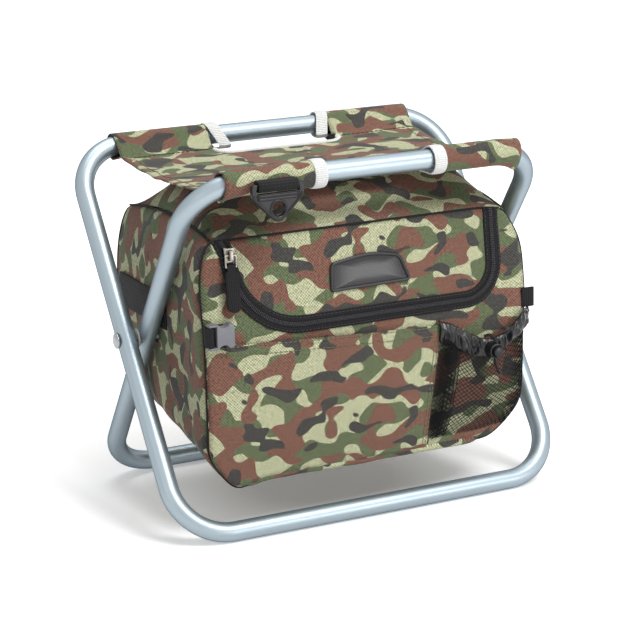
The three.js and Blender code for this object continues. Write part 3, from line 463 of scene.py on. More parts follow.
def linked(name: str, data: bpy.types.ID) -> Object:
    """Makes an object of some data and links it to the scene.

    Args:
        name: Name of the object.
        data: Its mesh, curve, lamp or camera.

    Returns:
        The object.
    """
    made = bpy.data.objects.new(name, data)
    bpy.context.scene.collection.objects.link(made)
    return made


def mesh_object(
    name: str,
    points: Array,
    faces: Sequence[Sequence[int]],
    uv: Array | None = None,
    edges: Sequence[Sequence[int]] = (),
) -> Object:
    """Makes a smooth mesh object.

    Args:
        name: Name of the object and its mesh.
        points: Corner positions, one row each.
        faces: Corner numbers of each face.
        uv: Cloth coordinates of each corner in metres.
        edges: Corner numbers of each loose edge.

    Returns:
        The new object, linked to the scene.
    """
    mesh = bpy.data.meshes.new(name)
    lines, rings = ([tuple(int(i) for i in cell) for cell in cells] for cells in (edges, faces))
    mesh.from_pydata([tuple(p) for p in np.asarray(points, float)], lines, rings)
    if uv is not None:
        layer = mesh.uv_layers.new(name=CLOTH_MAP)
        numbers = np.zeros(len(mesh.loops), np.int32)
        mesh.loops.foreach_get("vertex_index", numbers)
        layer.data.foreach_set("uv", np.asarray(uv, np.float32)[numbers].ravel())
    mesh.polygons.foreach_set("use_smooth", np.ones(len(mesh.polygons), bool))
    mesh.update()
    return linked(name, mesh)


def mesh_points(mesh: bpy.types.Mesh) -> Array:
    """Positions of a mesh's points, one row each."""
    return np.array([tuple(vertex.co) for vertex in mesh.vertices])


def run_length(points: Array) -> Array:
    """Distance along a line of points, from 0 at the first."""
    return np.concatenate([[0], np.cumsum(np.linalg.norm(np.diff(points, axis=0), axis=1))])


def even_steps(points: Array, step: float) -> Array:
    """Sets points at even steps along a line.

    Args:
        points: Corners of the line.
        step: Distance between the new points.

    Returns:
        The new points.
    """
    along = run_length(points)
    even = np.linspace(0, along[-1], int(along[-1] / step))
    return joined(*[np.interp(even, along, column) for column in points.T])


def eased(at: Array, knots: Sequence[float], values: Sequence[float], reach: float) -> Array:
    """Values between knots, eased within reach of each knot."""
    shifts = np.linspace(-1, 1, 7) * reach
    return np.mean([np.interp(np.asarray(at) + shift, knots, values) for shift in shifts], axis=0)


def everywhere(direction: Sequence[float], points: Array) -> Array:
    """The same direction at every point."""
    return np.tile(np.asarray(direction, float), (len(points), 1))


def forward(points: Array, out: Array) -> Array:
    """Moves each point to the front by its own distance."""
    return points - joined(0, out, 0)


def cell_middles(values: Array) -> Array:
    """Values in the middle of the cells between rows and columns."""
    return 0.25 * (values[:-1, :-1] + values[1:, :-1] + values[:-1, 1:] + values[1:, 1:])


def joined(*parts: Array | float) -> Array:
    """Puts coordinates together, so that each point has a row of them."""
    return np.stack(np.broadcast_arrays(*parts), axis=-1)


def spokes(turn: Array) -> Array:
    """Pairs of cosine and sine of each angle."""
    return joined(np.cos(turn), np.sin(turn))


def circle(sides: int) -> Array:
    """Corners of a round section of radius 1."""
    return spokes(np.linspace(0, 2 * math.pi, sides, endpoint=False))


def grid(
    name: str,
    points: Array,
    uv: Array,
    keep: Array | None = None,
    centre: Sequence[float] | None = None,
    ring: bool = False,
) -> Object:
    """Makes a sheet from rows of points.

    Args:
        name: Name of the object.
        points: Positions as rows, columns and three numbers.
        uv: Cloth coordinates as rows, columns and two numbers.
        keep: Which of the cells between the points are made.
        centre: A point that the faces turn away from.
        ring: Whether the last column joins the first.

    Returns:
        The sheet.
    """
    rows, columns = points.shape[:2]
    index = np.arange(rows * columns).reshape(rows, columns)
    after = np.roll(index, -1, axis=1)
    cells = joined(index[:-1], after[:-1], after[1:], index[1:])
    if not ring:
        cells = cells[:, :-1]
    faces = cells[keep] if keep is not None else cells.reshape(-1, 4)
    made = mesh_object(name, points.reshape(-1, 3), faces, uv.reshape(-1, 2))
    if centre is not None:
        face_away(made, centre)
    return made


def face_away(piece: Object, centre: Sequence[float]) -> None:
    """Turns a sheet's faces away from a point.

    Args:
        piece: The sheet.
        centre: The point behind it.
    """
    tally = sum((f.center - Vector(centre)).dot(f.normal) * f.area for f in piece.data.polygons)
    if tally < 0:
        piece.data.flip_normals()


def path_frame(path: Array, closed: bool = False) -> tuple[Array, Array, Array]:
    """Works out directions along a path without twist; the first normal leans upward.

    Args:
        path: Points of the path.
        closed: Whether the path returns to its start.

    Returns:
        Tangents, normals and binormals at the points.
    """
    if closed:
        tangents = np.roll(path, -1, axis=0) - np.roll(path, 1, axis=0)
    else:
        tangents = np.gradient(path, axis=0)
    tangents /= np.linalg.norm(tangents, axis=1, keepdims=True)
    normals = np.zeros_like(path)
    lean = np.array(UPWARD)
    if abs(lean @ tangents[0]) > 0.95:
        lean = np.array([0.0, 1.0, 0.0])
    for i, tangent in enumerate(tangents):
        lean = lean - (lean @ tangent) * tangent
        lean /= np.linalg.norm(lean)
        normals[i] = lean
    return tangents, normals, np.cross(tangents, normals)


def sweep(name: str, path: Array, side: Array, normal: Array, section: Array, closed: bool = False) -> Object:
    """Sweeps a closed section along a path.

    Args:
        name: Name of the object.
        path: Points of the path.
        side: Direction of the section's first axis at each point.
        normal: Direction of its second axis at each point.
        section: Corners of the section, or one set for each point.
        closed: Whether the path returns to its start.

    Returns:
        The swept solid, with its length along the first cloth axis.
    """
    sections = np.broadcast_to(section, (len(path), *np.shape(section)[-2:]))
    points = path[:, None] + side[:, None] * sections[..., :1] + normal[:, None] * sections[..., 1:]
    uv = joined(run_length(path)[:, None], sections[..., 0] + sections[..., 1])
    count = sections.shape[1]
    if closed:
        points = np.concatenate([points, points[:1]])
        uv = np.concatenate([uv, uv[-1:]])
    made = grid(name, points, uv, ring=True)
    build = bmesh.new()
    build.from_mesh(made.data)
    if closed:
        bmesh.ops.remove_doubles(build, verts=build.verts, dist=1e-7)
    else:
        build.verts.ensure_lookup_table()
        last = len(build.verts) - count
        build.faces.new([build.verts[i] for i in range(count)])
        build.faces.new([build.verts[last + i] for i in range(count)])
    bmesh.ops.recalc_face_normals(build, faces=build.faces)
    build.to_mesh(made.data)
    build.free()
    return made


def tube(name: str, path: Array, radius: float, sides: int, closed: bool = False) -> Object:
    """Sweeps a round section along a path."""
    _, normals, binormals = path_frame(path, closed)
    return sweep(name, path, binormals, normals, radius * circle(sides), closed)


def strap_section(half: float, thickness: float) -> Array:
    """Section of a flat strap with rounded edges, lying on its path.

    Args:
        half: Half of its width.
        thickness: How far it stands out.

    Returns:
        The section's corners.
    """
    soft = min(0.5 * thickness, 0.3 * half)
    return np.array(
        [
            [-half + soft, 0],
            [half - soft, 0],
            [half, 0.5 * thickness],
            [half - soft, thickness],
            [0, 1.04 * thickness],
            [-half + soft, thickness],
            [-half, 0.5 * thickness],
        ]
    )


def rounded(corners: Sequence[Sequence[float]]) -> Array:
    """Rounds the corners of a flat outline.

    Args:
        corners: Place of each corner and how far from it the rounding starts.

    Returns:
        Pairs of numbers round the outline.
    """
    spots = np.array([corner[:2] for corner in corners], float)
    made = []
    for i, (here, corner) in enumerate(zip(spots, corners)):
        before, after = spots[i - 1] - here, spots[(i + 1) % len(spots)] - here
        cut = min(corner[2], 0.45 * np.linalg.norm(before), 0.45 * np.linalg.norm(after))
        first = here + before / np.linalg.norm(before) * cut
        last = here + after / np.linalg.norm(after) * cut
        for t in np.linspace(0, 1, CORNER_STEPS):
            made.append((1 - t) ** 2 * first + 2 * t * (1 - t) * here + t**2 * last)
    return np.array(made)


def plate(name: str, outlines: Sequence[Array], thickness: float, edge: float) -> Object:
    """Cuts a flat plate with holes and rounds its edges.

    Args:
        name: Name of the piece.
        outlines: Pairs of numbers round the plate, then round each hole.
        thickness: Thickness of the plate.
        edge: Radius of its edges.

    Returns:
        The plate, flat round the origin.
    """
    shape = bpy.data.curves.new(name, "CURVE")
    shape.dimensions = "2D"
    shape.fill_mode = "BOTH"
    shape.extrude = thickness / 2 - edge
    shape.bevel_depth = edge
    shape.bevel_resolution = 2
    shape.offset = -edge
    for outline in outlines:
        spline = shape.splines.new("POLY")
        spline.points.add(len(outline) - 1)
        spline.points.foreach_set("co", np.pad(outline, ((0, 0), (0, 2))).astype(np.float32).ravel())
        spline.use_cyclic_u = True
    drawn = linked(name, shape)
    mesh = bpy.data.meshes.new_from_object(drawn.evaluated_get(bpy.context.evaluated_depsgraph_get()))
    bpy.data.objects.remove(drawn)
    mesh.shade_smooth()
    mesh.set_sharp_from_angle(angle=math.radians(50))
    return linked(name, mesh)


def turned(name: str, profile: Sequence[Pair] | Array, axis: Triple, origin: Triple) -> Object:
    """Turns a profile about an axis.

    Args:
        name: Name of the object.
        profile: Pairs of radius and distance along the axis, from axis to axis.
        axis: Direction of the axis.
        origin: Where distance is zero.

    Returns:
        The turned solid.
    """
    build = bmesh.new()
    made = [build.verts.new((max(r, 0), 0, z)) for r, z in profile]
    for a, b in zip(made, made[1:]):
        build.edges.new((a, b))
    whole = {"cent": (0, 0, 0), "axis": UPWARD, "angle": 2 * math.pi, "steps": TURN_STEPS}
    bmesh.ops.spin(build, geom=[*build.verts, *build.edges], **whole)
    bmesh.ops.remove_doubles(build, verts=build.verts, dist=1e-7)
    bmesh.ops.recalc_face_normals(build, faces=build.faces)
    mesh = bpy.data.meshes.new(name)
    build.to_mesh(mesh)
    build.free()
    mesh.transform(Matrix.Translation(origin) @ Vector(axis).to_track_quat("Z", "Y").to_matrix().to_4x4())
    mesh.shade_smooth()
    mesh.set_sharp_from_angle(angle=math.radians(40))
    return linked(name, mesh)


def bake(piece: Object) -> Object:
    """Bakes a piece's modifiers into its mesh.

    Args:
        piece: The piece to bake.

    Returns:
        The same piece.
    """
    ready = piece.evaluated_get(bpy.context.evaluated_depsgraph_get())
    old, baked = piece.data, bpy.data.meshes.new_from_object(ready)
    piece.modifiers.clear()
    piece.data = baked
    bpy.data.meshes.remove(old)
    baked.name = piece.name
    return piece


def modify(piece: Object, kind: str, **settings: object) -> Object:
    """Adds a modifier and bakes it into the mesh.

    Args:
        piece: The piece to change.
        kind: The modifier's type.
        **settings: The modifier's properties.

    Returns:
        The same piece.
    """
    modifier = piece.modifiers.new(kind.title(), kind)
    for key, value in settings.items():
        setattr(modifier, key, value)
    return bake(piece)


def thicken(piece: Object, thickness: float) -> Object:
    """Gives a sheet its thickness behind its faces."""
    return modify(piece, "SOLIDIFY", thickness=thickness, offset=-1.0)


def soften(piece: Object, width: float, segments: int, angle: float) -> Object:
    """Rounds the edges of a piece that turn through more than an angle in degrees."""
    limit = math.radians(angle)
    return modify(piece, "BEVEL", width=width, segments=segments, limit_method="ANGLE", angle_limit=limit)


def cad_copy(name: str, node: str, bevel: float, segments: int = 3) -> Object:
    """Copies a CAD node as a piece with softened edges.

    Args:
        name: Name of the new piece.
        node: The CAD node.
        bevel: Width of the rounding.
        segments: Steps of the rounding.

    Returns:
        The new piece.
    """
    build = bmesh.new()
    build.from_mesh(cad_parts[node].data)
    bmesh.ops.remove_doubles(build, verts=build.verts, dist=1e-6)
    bmesh.ops.dissolve_limit(build, angle_limit=math.radians(1.0), verts=build.verts, edges=build.edges)
    mesh = bpy.data.meshes.new(name)
    build.to_mesh(mesh)
    build.free()
    mesh.shade_smooth()
    made = linked(name, mesh)
    soften(made, bevel, segments, 32)
    made.data.shade_smooth()
    made.data.set_sharp_from_angle(angle=math.radians(50))
    return made


def puffed(piece: Object, voxel: float, pressure: float, caps: Pair) -> None:
    """Blows a pad up in a short cloth simulation and keeps the result.

    Args:
        piece: The plain pad.
        voxel: Size of its new faces.
        pressure: Air pressure inside the pad.
        caps: Furthest that a point may move towards the front and towards the rear.
    """
    modify(piece, "REMESH", mode="VOXEL", voxel_size=voxel)
    start = mesh_points(piece.data)
    cloth = piece.modifiers.new("Air", "CLOTH")
    cloth.settings.use_pressure = True
    cloth.settings.uniform_pressure_force = pressure
    cloth.settings.effector_weights.gravity = 0.0
    for step in range(1, PUFF_FRAMES + 1):
        bpy.context.scene.frame_set(step)
    blown = piece.evaluated_get(bpy.context.evaluated_depsgraph_get())
    drift = mesh_points(blown.data) - start
    piece.modifiers.clear()
    bpy.context.scene.frame_set(1)
    cap = np.where(drift[:, 1] < 0, *caps)[:, None]
    far = np.linalg.norm(drift, axis=1, keepdims=True)
    kept = start + drift * np.minimum(1, cap / np.maximum(far, 1e-9))
    piece.data.vertices.foreach_set("co", kept.ravel())
    modify(piece, "SUBSURF", levels=1, render_levels=1)
    piece.data.shade_smooth()


def box_map(piece: Object) -> Object:
    """Gives a piece cloth coordinates from the side that each face looks to.

    Args:
        piece: The piece to map.

    Returns:
        The same piece.
    """
    layer = piece.data.uv_layers.get(CLOTH_MAP) or piece.data.uv_layers.new(name=CLOTH_MAP)
    for polygon in piece.data.polygons:
        flat = max(range(3), key=lambda axis: abs(polygon.normal[axis]))
        first, second = [axis for axis in range(3) if axis != flat]
        for loop in polygon.loop_indices:
            spot = piece.data.vertices[piece.data.loops[loop].vertex_index].co
            layer.data[loop].uv = (spot[first], spot[second])
    return piece


def settle(piece: Object, finish: Finish, body: Body | None, *nodes: str) -> None:
    """Dresses a piece and fixes it to its body.

    Args:
        piece: The finished mesh.
        finish: Its finish.
        body: The body that carries it, or none where it bends between two.
        *nodes: The CAD nodes that it stands for.
    """
    piece.data.materials.clear()
    piece.data.materials.append(finish.material())
    if body:
        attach(piece, body.value)
    if nodes:
        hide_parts(*nodes)
    LOG.info("%s: %d faces, %s", piece.name, len(piece.data.polygons), finish.label)


@dataclass(frozen=True)
class Folds:
    """Gentle uneven waves, the same on every run."""

    seed: int
    size: float
    count: int = 9

    def at(self, a: Array, b: Array) -> Array:
        """Height of the waves, about -1 to 1.

        Args:
            a: First coordinate in metres.
            b: Second coordinate in metres.

        Returns:
            The height at each point.
        """
        dice = np.random.default_rng(self.seed)
        total = np.zeros(np.broadcast(a, b).shape)
        for _ in range(self.count):
            turn, phase = dice.uniform(0, 2 * math.pi, 2)
            wave = 2 * math.pi / (self.size * dice.uniform(0.6, 1.8))
            total = total + np.sin(wave * (a * math.cos(turn) + b * math.sin(turn)) + phase)
        return total / math.sqrt(2 * self.count)


@dataclass(frozen=True)
class Rod:
    """Spacing, radius and length of the rods in a row."""

    spacing: float
    radius: float
    length: float


SLING_STITCH = Rod(4.2 * MM, 0.35 * MM, 3 * MM)
POCKET_STITCH = Rod(4 * MM, 0.33 * MM, 2.9 * MM)
ZIP_STITCH = Rod(3.4 * MM, 0.3 * MM, 2.4 * MM)
ZIP_TOOTH = Rod(1.5 * MM, 0.55 * MM, 2 * MM)


class PieceTree:
    """A geometry nodes tree with named inputs, run once over a piece."""

    def __init__(self, name: str, inputs: dict[str, str]) -> None:
        """Makes the tree's sockets.

        Args:
            name: Name of the tree.
            inputs: Name and kind of each input between the geometry and the material.
        """
        self.tree = bpy.data.node_groups.new(name, "GeometryNodeTree")
        face = self.tree.interface
        face.new_socket("Geometry", in_out="INPUT", socket_type="NodeSocketGeometry")
        self.inputs = {
            label: face.new_socket(label, in_out="INPUT", socket_type=f"NodeSocket{kind}").identifier
            for label, kind in {**inputs, "Material": "Material"}.items()
        }
        face.new_socket("Geometry", in_out="OUTPUT", socket_type="NodeSocketGeometry")
        self.given = self.add("NodeGroupInput").outputs

    def add(self, kind: str, settings: dict | None = None, links: dict | None = None) -> Node:
        """Adds a node to the tree."""
        return add_node(self.tree, kind, settings, links)

    def hand_on(self, made: Node) -> None:
        """Paints what a node makes and hands it on."""
        links = {"Geometry": made.outputs[0], "Material": self.given["Material"]}
        self.add("NodeGroupOutput", None, {0: self.add("GeometryNodeSetMaterial", None, links).outputs[0]})

    def over(self, piece: Object, finish: Finish, **values: object) -> Object:
        """Runs the tree over a piece and makes it a plain mesh.

        Args:
            piece: The lines that the tree works on.
            finish: Finish of what it makes.
            **values: Values of the other inputs.

        Returns:
            The same piece.
        """
        modifier = piece.modifiers.new("Tree", "NODES")
        modifier.node_group = self.tree
        for label, value in {**values, "Material": finish.material()}.items():
            modifier[self.inputs[label]] = value
        return box_map(bake(piece))


class RowTree(PieceTree):
    """Geometry nodes that set short rods along a path, as stitches or zip teeth."""

    def __init__(self) -> None:
        """Builds the tree with its named inputs."""
        inputs = {"Spacing": "Float", "Radius": "Float", "Length": "Float", "Turn": "Vector"}
        super().__init__("rods_along_path", inputs)
        given, align = self.given, "FunctionNodeAlignRotationToVector"
        line = self.add("GeometryNodeMeshToCurve", None, {"Mesh": given["Geometry"]}).outputs[0]
        even = {"Curve": line, "Length": given["Spacing"]}
        spots = self.add("GeometryNodeCurveToPoints", {"mode": "LENGTH"}, even).outputs
        stored = {"data_type": "FLOAT_VECTOR", "Name": "outward"}
        outward = self.add("GeometryNodeInputNamedAttribute", stored).outputs[0]
        lined = self.add(align, {"axis": "Z"}, {"Vector": spots["Tangent"]}).outputs[0]
        aimed = {"Rotation": lined, "Vector": outward}
        faced = self.add(align, {"axis": "X", "pivot_axis": "Z"}, aimed).outputs[0]
        tilt = self.add("FunctionNodeEulerToRotation", None, {0: given["Turn"]}).outputs[0]
        local = {"rotation_space": "LOCAL"}
        posed = self.add("FunctionNodeRotateRotation", local, {0: faced, 1: tilt}).outputs[0]
        size = {"Radius": given["Radius"], "Depth": given["Length"]}
        rod = self.add("GeometryNodeMeshCylinder", {"Vertices": 6}, size).outputs[0]
        links = {"Points": spots[0], "Instance": rod, "Rotation": posed}
        copies = self.add("GeometryNodeInstanceOnPoints", None, links).outputs[0]
        real = self.add("GeometryNodeRealizeInstances", None, {0: copies}).outputs[0]
        self.hand_on(self.add("GeometryNodeSetShadeSmooth", None, {0: real}))

    def run(
        self,
        name: str,
        paths: Sequence[tuple[Array, Array]],
        finish: Finish,
        rod: Rod,
        turn: Sequence[float] = (0, 0, 0),
    ) -> Object:
        """Sets rods along paths.

        Args:
            name: Name of the piece.
            paths: Points of each path and the outward direction at each point.
            finish: Finish of the rods.
            rod: Size of the rods.
            turn: Turn of each rod from the path's direction.

        Returns:
            The piece.
        """
        points, facing = (np.concatenate(part) for part in zip(*paths))
        starts = np.cumsum([0, *[len(path) for path, _ in paths]])
        edges = [(i, i + 1) for a, b in zip(starts, starts[1:]) for i in range(a, b - 1)]
        made = mesh_object(name, points, [], None, edges)
        store = made.data.attributes.new("outward", "FLOAT_VECTOR", "POINT")
        store.data.foreach_set("vector", facing.astype(np.float32).ravel())
        return self.over(made, finish, Spacing=rod.spacing, Radius=rod.radius, Length=rod.length, Turn=turn)


class NetTree(PieceTree):
    """Geometry nodes that lay a yarn along every edge of a mesh, as a knitted net."""

    def __init__(self) -> None:
        """Builds the tree with its named inputs."""
        super().__init__("yarn_along_edges", {"Radius": "Float"})
        line = self.add("GeometryNodeMeshToCurve", None, {"Mesh": self.given["Geometry"]}).outputs[0]
        round_yarn = {"Radius": self.given["Radius"]}
        ring = self.add("GeometryNodeCurvePrimitiveCircle", {"Resolution": 4}, round_yarn).outputs[0]
        links = {"Curve": line, "Profile Curve": ring}
        yarn = self.add("GeometryNodeCurveToMesh", {"Fill Caps": True}, links).outputs[0]
        self.hand_on(self.add("GeometryNodeRealizeInstances", None, {0: yarn}))

    def run(
        self, name: str, points: Array, edges: Sequence[Sequence[int]], finish: Finish, radius: float
    ) -> Object:
        """Lays yarn along the edges between knots."""
        return self.over(mesh_object(name, points, [], None, edges), finish, Radius=radius)


# The tube frame


@dataclass
class TubeFrame:
    """Two crossed loops of round tube on a rivet at each side."""

    radius: float = 7.95 * MM
    bend: float = 44 * MM
    leg: float = 344 * MM
    outer_width: float = 340 * MM
    inner_width: float = 305.4 * MM
    lean: float = math.radians(36.1)
    bend_steps: int = 22
    sides: int = 36
    shank: float = 3 * MM
    dome: Pair = (6.4 * MM, 2.3 * MM)
    dome_rim: Pair = (6.2 * MM, 0.7 * MM)
    set_tail: Pair = (5.4 * MM, 1.3 * MM)
    tail_bevel: float = 0.5 * MM
    tail_gap: float = 0.4 * MM

    @property
    def pivot_z(self) -> float:
        """Height of the pivot axis."""
        return self.radius + self.leg / 2 * math.cos(self.lean)

    @property
    def bar_y(self) -> float:
        """Distance of a top bar from the middle."""
        return self.leg / 2 * math.sin(self.lean)

    @property
    def bar_z(self) -> float:
        """Height of a top bar."""
        return self.pivot_z + self.leg / 2 * math.cos(self.lean)

    def loop(self, width: float, way: int) -> Array:
        """Centreline of a loop.

        Args:
            width: Distance between the legs' centrelines.
            way: Sign of Y at the loop's top bar.

        Returns:
            Points round the loop.
        """
        rows = []
        for quarter, (side, end) in enumerate(((1, 1), (-1, 1), (-1, -1), (1, -1))):
            turn = np.linspace(quarter, quarter + 1, self.bend_steps) * math.pi / 2
            x = side * (width / 2 - self.bend) + self.bend * np.cos(turn)
            s = end * (self.leg / 2 - self.bend) + self.bend * np.sin(turn)
            y, z = way * s * math.sin(self.lean), self.pivot_z + s * math.cos(self.lean)
            rows.append(joined(x, y, z))
        return np.concatenate(rows)

    def build(self) -> None:
        """Builds the loops, rivets and washers."""
        outer = tube("outer_loop", self.loop(self.outer_width, 1), self.radius, self.sides, True)
        settle(outer, TUBE_PAINT, Body.OUTER, "outer_tube")
        inner = tube("inner_loop", self.loop(self.inner_width, -1), self.radius, self.sides, True)
        settle(inner, TUBE_PAINT, Body.INNER, "inner_tube")
        for word, side in SIDES:
            self.rivet(side, word)
            washer = f"pivot_washer_{word}"
            settle(cad_copy(f"washer_{word}", washer, 0.1 * MM, 1), NYLON, Body.INNER, washer)

    def rivet(self, side: int, word: str) -> None:
        """Builds one domed rivet with its set tail.

        Args:
            side: Sign of X.
            word: Name of the side.
        """
        head = self.outer_width / 2 + self.radius
        tail = self.inner_width / 2 - self.radius - self.tail_gap
        (wide, tall), (rim, rise), (flare, thick) = self.dome, self.dome_rim, self.set_tail
        profile = [
            (0, tail - thick),
            (flare - self.tail_bevel, tail - thick),
            (flare, tail - thick + self.tail_bevel),
            (flare, tail),
            (self.shank, tail),
            (self.shank, head),
            (rim, head),
            *(spokes(np.linspace(0, math.pi / 2, 9)) * [wide, tall] + [0, head + rise]),
        ]
        made = turned(f"rivet_{word}", profile, (side, 0, 0), (0, 0, self.pivot_z))
        settle(made, RIVET_METAL, Body.OUTER, f"pivot_rivet_{word}")


# The sling seat


@dataclass
class SlingSeat:
    """A sling with a sleeve round each top bar, bound handle cut-outs and hemmed sides."""

    tubes: TubeFrame
    rows: RowTree
    sleeve_radius: float = 10.6 * MM
    sleeve_drop: float = 0.7 * MM
    tail: Pair = (17 * MM, -6.6 * MM)
    tail_radius: float = 1.2 * MM
    front_half: float = 131 * MM
    rear_half: float = 137 * MM
    shift: float = 2 * MM
    cut_shift: float = 5 * MM
    cut_half: float = 57 * MM
    cut_edge: float = 67.5 * MM
    cut_corner: float = 12 * MM
    reach: float = 80.5 * MM
    low: float = 271.4 * MM
    rise: float = 6.8 * MM
    collar: float = 11 * MM
    collar_slant: float = 7 * MM
    binding: float = 5.4 * MM
    fabric: float = 1.2 * MM
    hem: float = 8 * MM
    hem_lift: float = 0.5 * MM
    ripple: float = 0.7 * MM
    panel_ease: float = 8 * MM
    under_ease: float = 9 * MM
    collar_lift: float = 0.7 * MM
    collar_swell: float = 0.4 * MM
    collar_thickness: float = 1.3 * MM
    lip_height: float = 3.2 * MM
    lip_sink: float = 2 * MM
    lip_overlap: float = 1.7 * MM
    bend_start: Pair = (82 * MM, 280 * MM)
    bend_end: Pair = (3 * MM, 270 * MM)
    folds: Folds = field(default_factory=lambda: Folds(11, 70 * MM))

    def top(self, y: Array) -> Array:
        """Height of the sling's upper face at a distance from the middle."""
        return self.low + self.rise * (np.asarray(y) / self.reach) ** 2

    def half(self, y: Array) -> Array:
        """Half of the sling's width at a place from front to rear."""
        share = (np.asarray(y) / self.reach + 1) / 2
        return self.front_half + (self.rear_half - self.front_half) * np.clip(share, -0.2, 1.2)

    def sleeve(self, grow: float = 0.0) -> Array:
        """Section of the sleeve from its lower seam, round the bar, to its upper seam.

        Args:
            grow: How far the section stands outside the plain sleeve.

        Returns:
            Pairs of distance inwards from the bar and height above it.
        """
        big, small = self.sleeve_radius + grow, self.tail_radius + grow
        towards = math.atan2(self.tail[1], self.tail[0])
        spread = math.acos((big - small) / math.hypot(*self.tail))
        first, last = towards - spread, towards + spread
        loop = big * spokes(np.linspace(first + 2 * math.pi, last, 30))
        ends = small * spokes(np.array([first, last])) + self.tail
        return np.concatenate([ends[:1], loop, ends[1:]]) - [0, self.sleeve_drop]

    def follow_bend(self, x: Array, inward: Array, height: Array, width: float) -> tuple[Array, Array]:
        """Lets the underside of a sleeve down round the bend of its bar.

        Args:
            x: Place along the bar.
            inward: Distance inwards from the bar.
            height: Height above the bar.
            width: Width of the loop that the bar belongs to.

        Returns:
            The new distances inwards and heights.
        """
        past = np.clip(np.abs(x) - (width / 2 - self.tubes.bend), 0, 0.8 * self.tubes.bend)
        turn = np.arcsin(past / self.tubes.bend)
        drop = self.tubes.bend * (1 - np.cos(turn)) + self.tubes.radius * (1 / np.cos(turn) - 1)
        down = np.array([math.sin(self.tubes.lean), -math.cos(self.tubes.lean)])
        lower = np.clip(((inward * down[0] + height * down[1]) / self.sleeve_radius + 1) / 2, 0, 1)
        near = np.clip(1 - (inward - self.under_ease) / self.under_ease, 0, 1)
        return inward + drop * lower * near * down[0], height + drop * lower * near * down[1]

    def width(self, place: Place) -> float:
        """Width of the loop at one end of the seat."""
        return self.tubes.inner_width if place is Place.FRONT else self.tubes.outer_width

    def build(self) -> None:
        """Builds both halves of the sling with their bindings and stitches."""
        for place in Place:
            self.sling(place)
            self.collars(place)
            self.lip(place)
            self.stitches(place)

    def bend(self, piece: Object, place: Place) -> None:
        """Bakes the placement of a piece of the sling into its mesh."""
        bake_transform(piece)

    def wave(self, x: Array, y: Array, place: Place) -> Array:
        """Height of the sling's folds at a place across and a distance from the middle."""
        return self.ripple * self.folds.at(x, y * (2 + place.value))

    def sling(self, place: Place) -> None:
        """Builds one half of the sling with its two sleeves.

        Args:
            place: The end of the seat.
        """
        loop, bar_y, bar_z = self.sleeve(), self.tubes.bar_y, self.tubes.bar_z
        inner = np.sort(np.append(np.linspace(bar_y - self.reach, bar_y, 26), bar_y - self.cut_edge))
        profile = np.concatenate([loop, joined(inner, self.top(bar_y - inner) - bar_z)])
        cuts = [(side * self.cut_half + self.cut_shift - self.shift) / self.front_half for side in (-1, 1)]
        share = np.sort(np.append(np.linspace(-1, 1, 81), cuts))[None]
        inward = np.broadcast_to(profile[:, :1], (len(profile), share.size))
        height = np.broadcast_to(profile[:, 1:], inward.shape)
        y = bar_y - inward
        wide = self.half(place.value * np.clip(y, 0, None))
        x = self.shift + share * wide
        inward, height = self.follow_bend(x, inward, height, self.width(place))
        on_panel = np.clip((profile[:, :1] - self.tail[0]) / self.panel_ease, 0, 1)
        hemmed = wide * (1 - np.abs(share)) < self.hem
        height = height + on_panel * (self.wave(x, y, place) + self.hem_lift * hemmed)
        points = joined(x, place.value * (bar_y - inward), bar_z + height)
        along = run_length(profile)
        uv = joined(x, place.value * (along[:, None] - along[-1])) + PRINT_CUT["sling"]
        keep = ~self.cut_away(cell_middles(x), 0.5 * (profile[:-1, :1] + profile[1:, :1]), len(loop))
        made = grid(f"sling_{place.word}", points, uv, keep)
        top_face = max(made.data.polygons, key=lambda f: f.center.z)
        if top_face.normal.z < 0:
            made.data.flip_normals()
        thicken(made, self.fabric)
        nodes = ["seat_panel", *[f"seat_sleeve_{place.word}_{word}" for word, _ in SIDES]]
        settle(made, CAMO, None, *nodes)
        self.bend(made, place)

    def cut_away(self, x: Array, inward: Array, loop_rows: int) -> Array:
        """Cells of the sling that the handle cut-out takes.

        Args:
            x: Place of each cell along the bar.
            inward: Distance of each row of cells inwards from the bar.
            loop_rows: Number of rows that belong to the sleeve.

        Returns:
            Which cells are cut away.
        """
        over = np.abs(x - self.cut_shift) - self.cut_half
        past = (inward - (self.tubes.bar_y - self.cut_edge)) + np.zeros_like(x)
        past[: loop_rows - 1] = -1.0
        corner = np.hypot(np.clip(over + self.cut_corner, 0, None), np.clip(past + self.cut_corner, 0, None))
        in_corner = (over > -self.cut_corner) & (past > -self.cut_corner)
        return np.where(in_corner, corner < self.cut_corner, (over < 0) & (past < 0))

    def collars(self, place: Place) -> None:
        """Builds the white bindings round the sleeves' inner ends.

        Args:
            place: The end of the seat.
        """
        section, bar_y, bar_z = self.sleeve(self.collar_lift), self.tubes.bar_y, self.tubes.bar_z
        around = run_length(section)
        slant = self.collar_slant * np.clip(section[:, 0] / self.tail[0], 0, 1) ** 2
        swell = 1 + self.collar_swell * np.sin(np.linspace(0, math.pi, 9))[:, None] / self.sleeve_radius
        for word, side in SIDES:
            start = self.cut_shift + side * (self.cut_half + 1 * MM)
            x = np.linspace(start, start - side * self.collar, 9)[:, None]
            inward, height = section[:, 0] * swell, section[:, 1] * swell
            points = joined(x - side * slant, place.value * (bar_y - inward), bar_z + height)
            uv = joined(around, x)
            centre = (x[4, 0], place.value * bar_y, bar_z)
            made = grid(f"collar_{place.word}_{word}", points, uv, None, centre, True)
            soften(thicken(made, self.collar_thickness), 0.4 * MM, 2, 50)
            settle(made, BINDING, place.body, f"binding_collar_{place.word}_{word}")

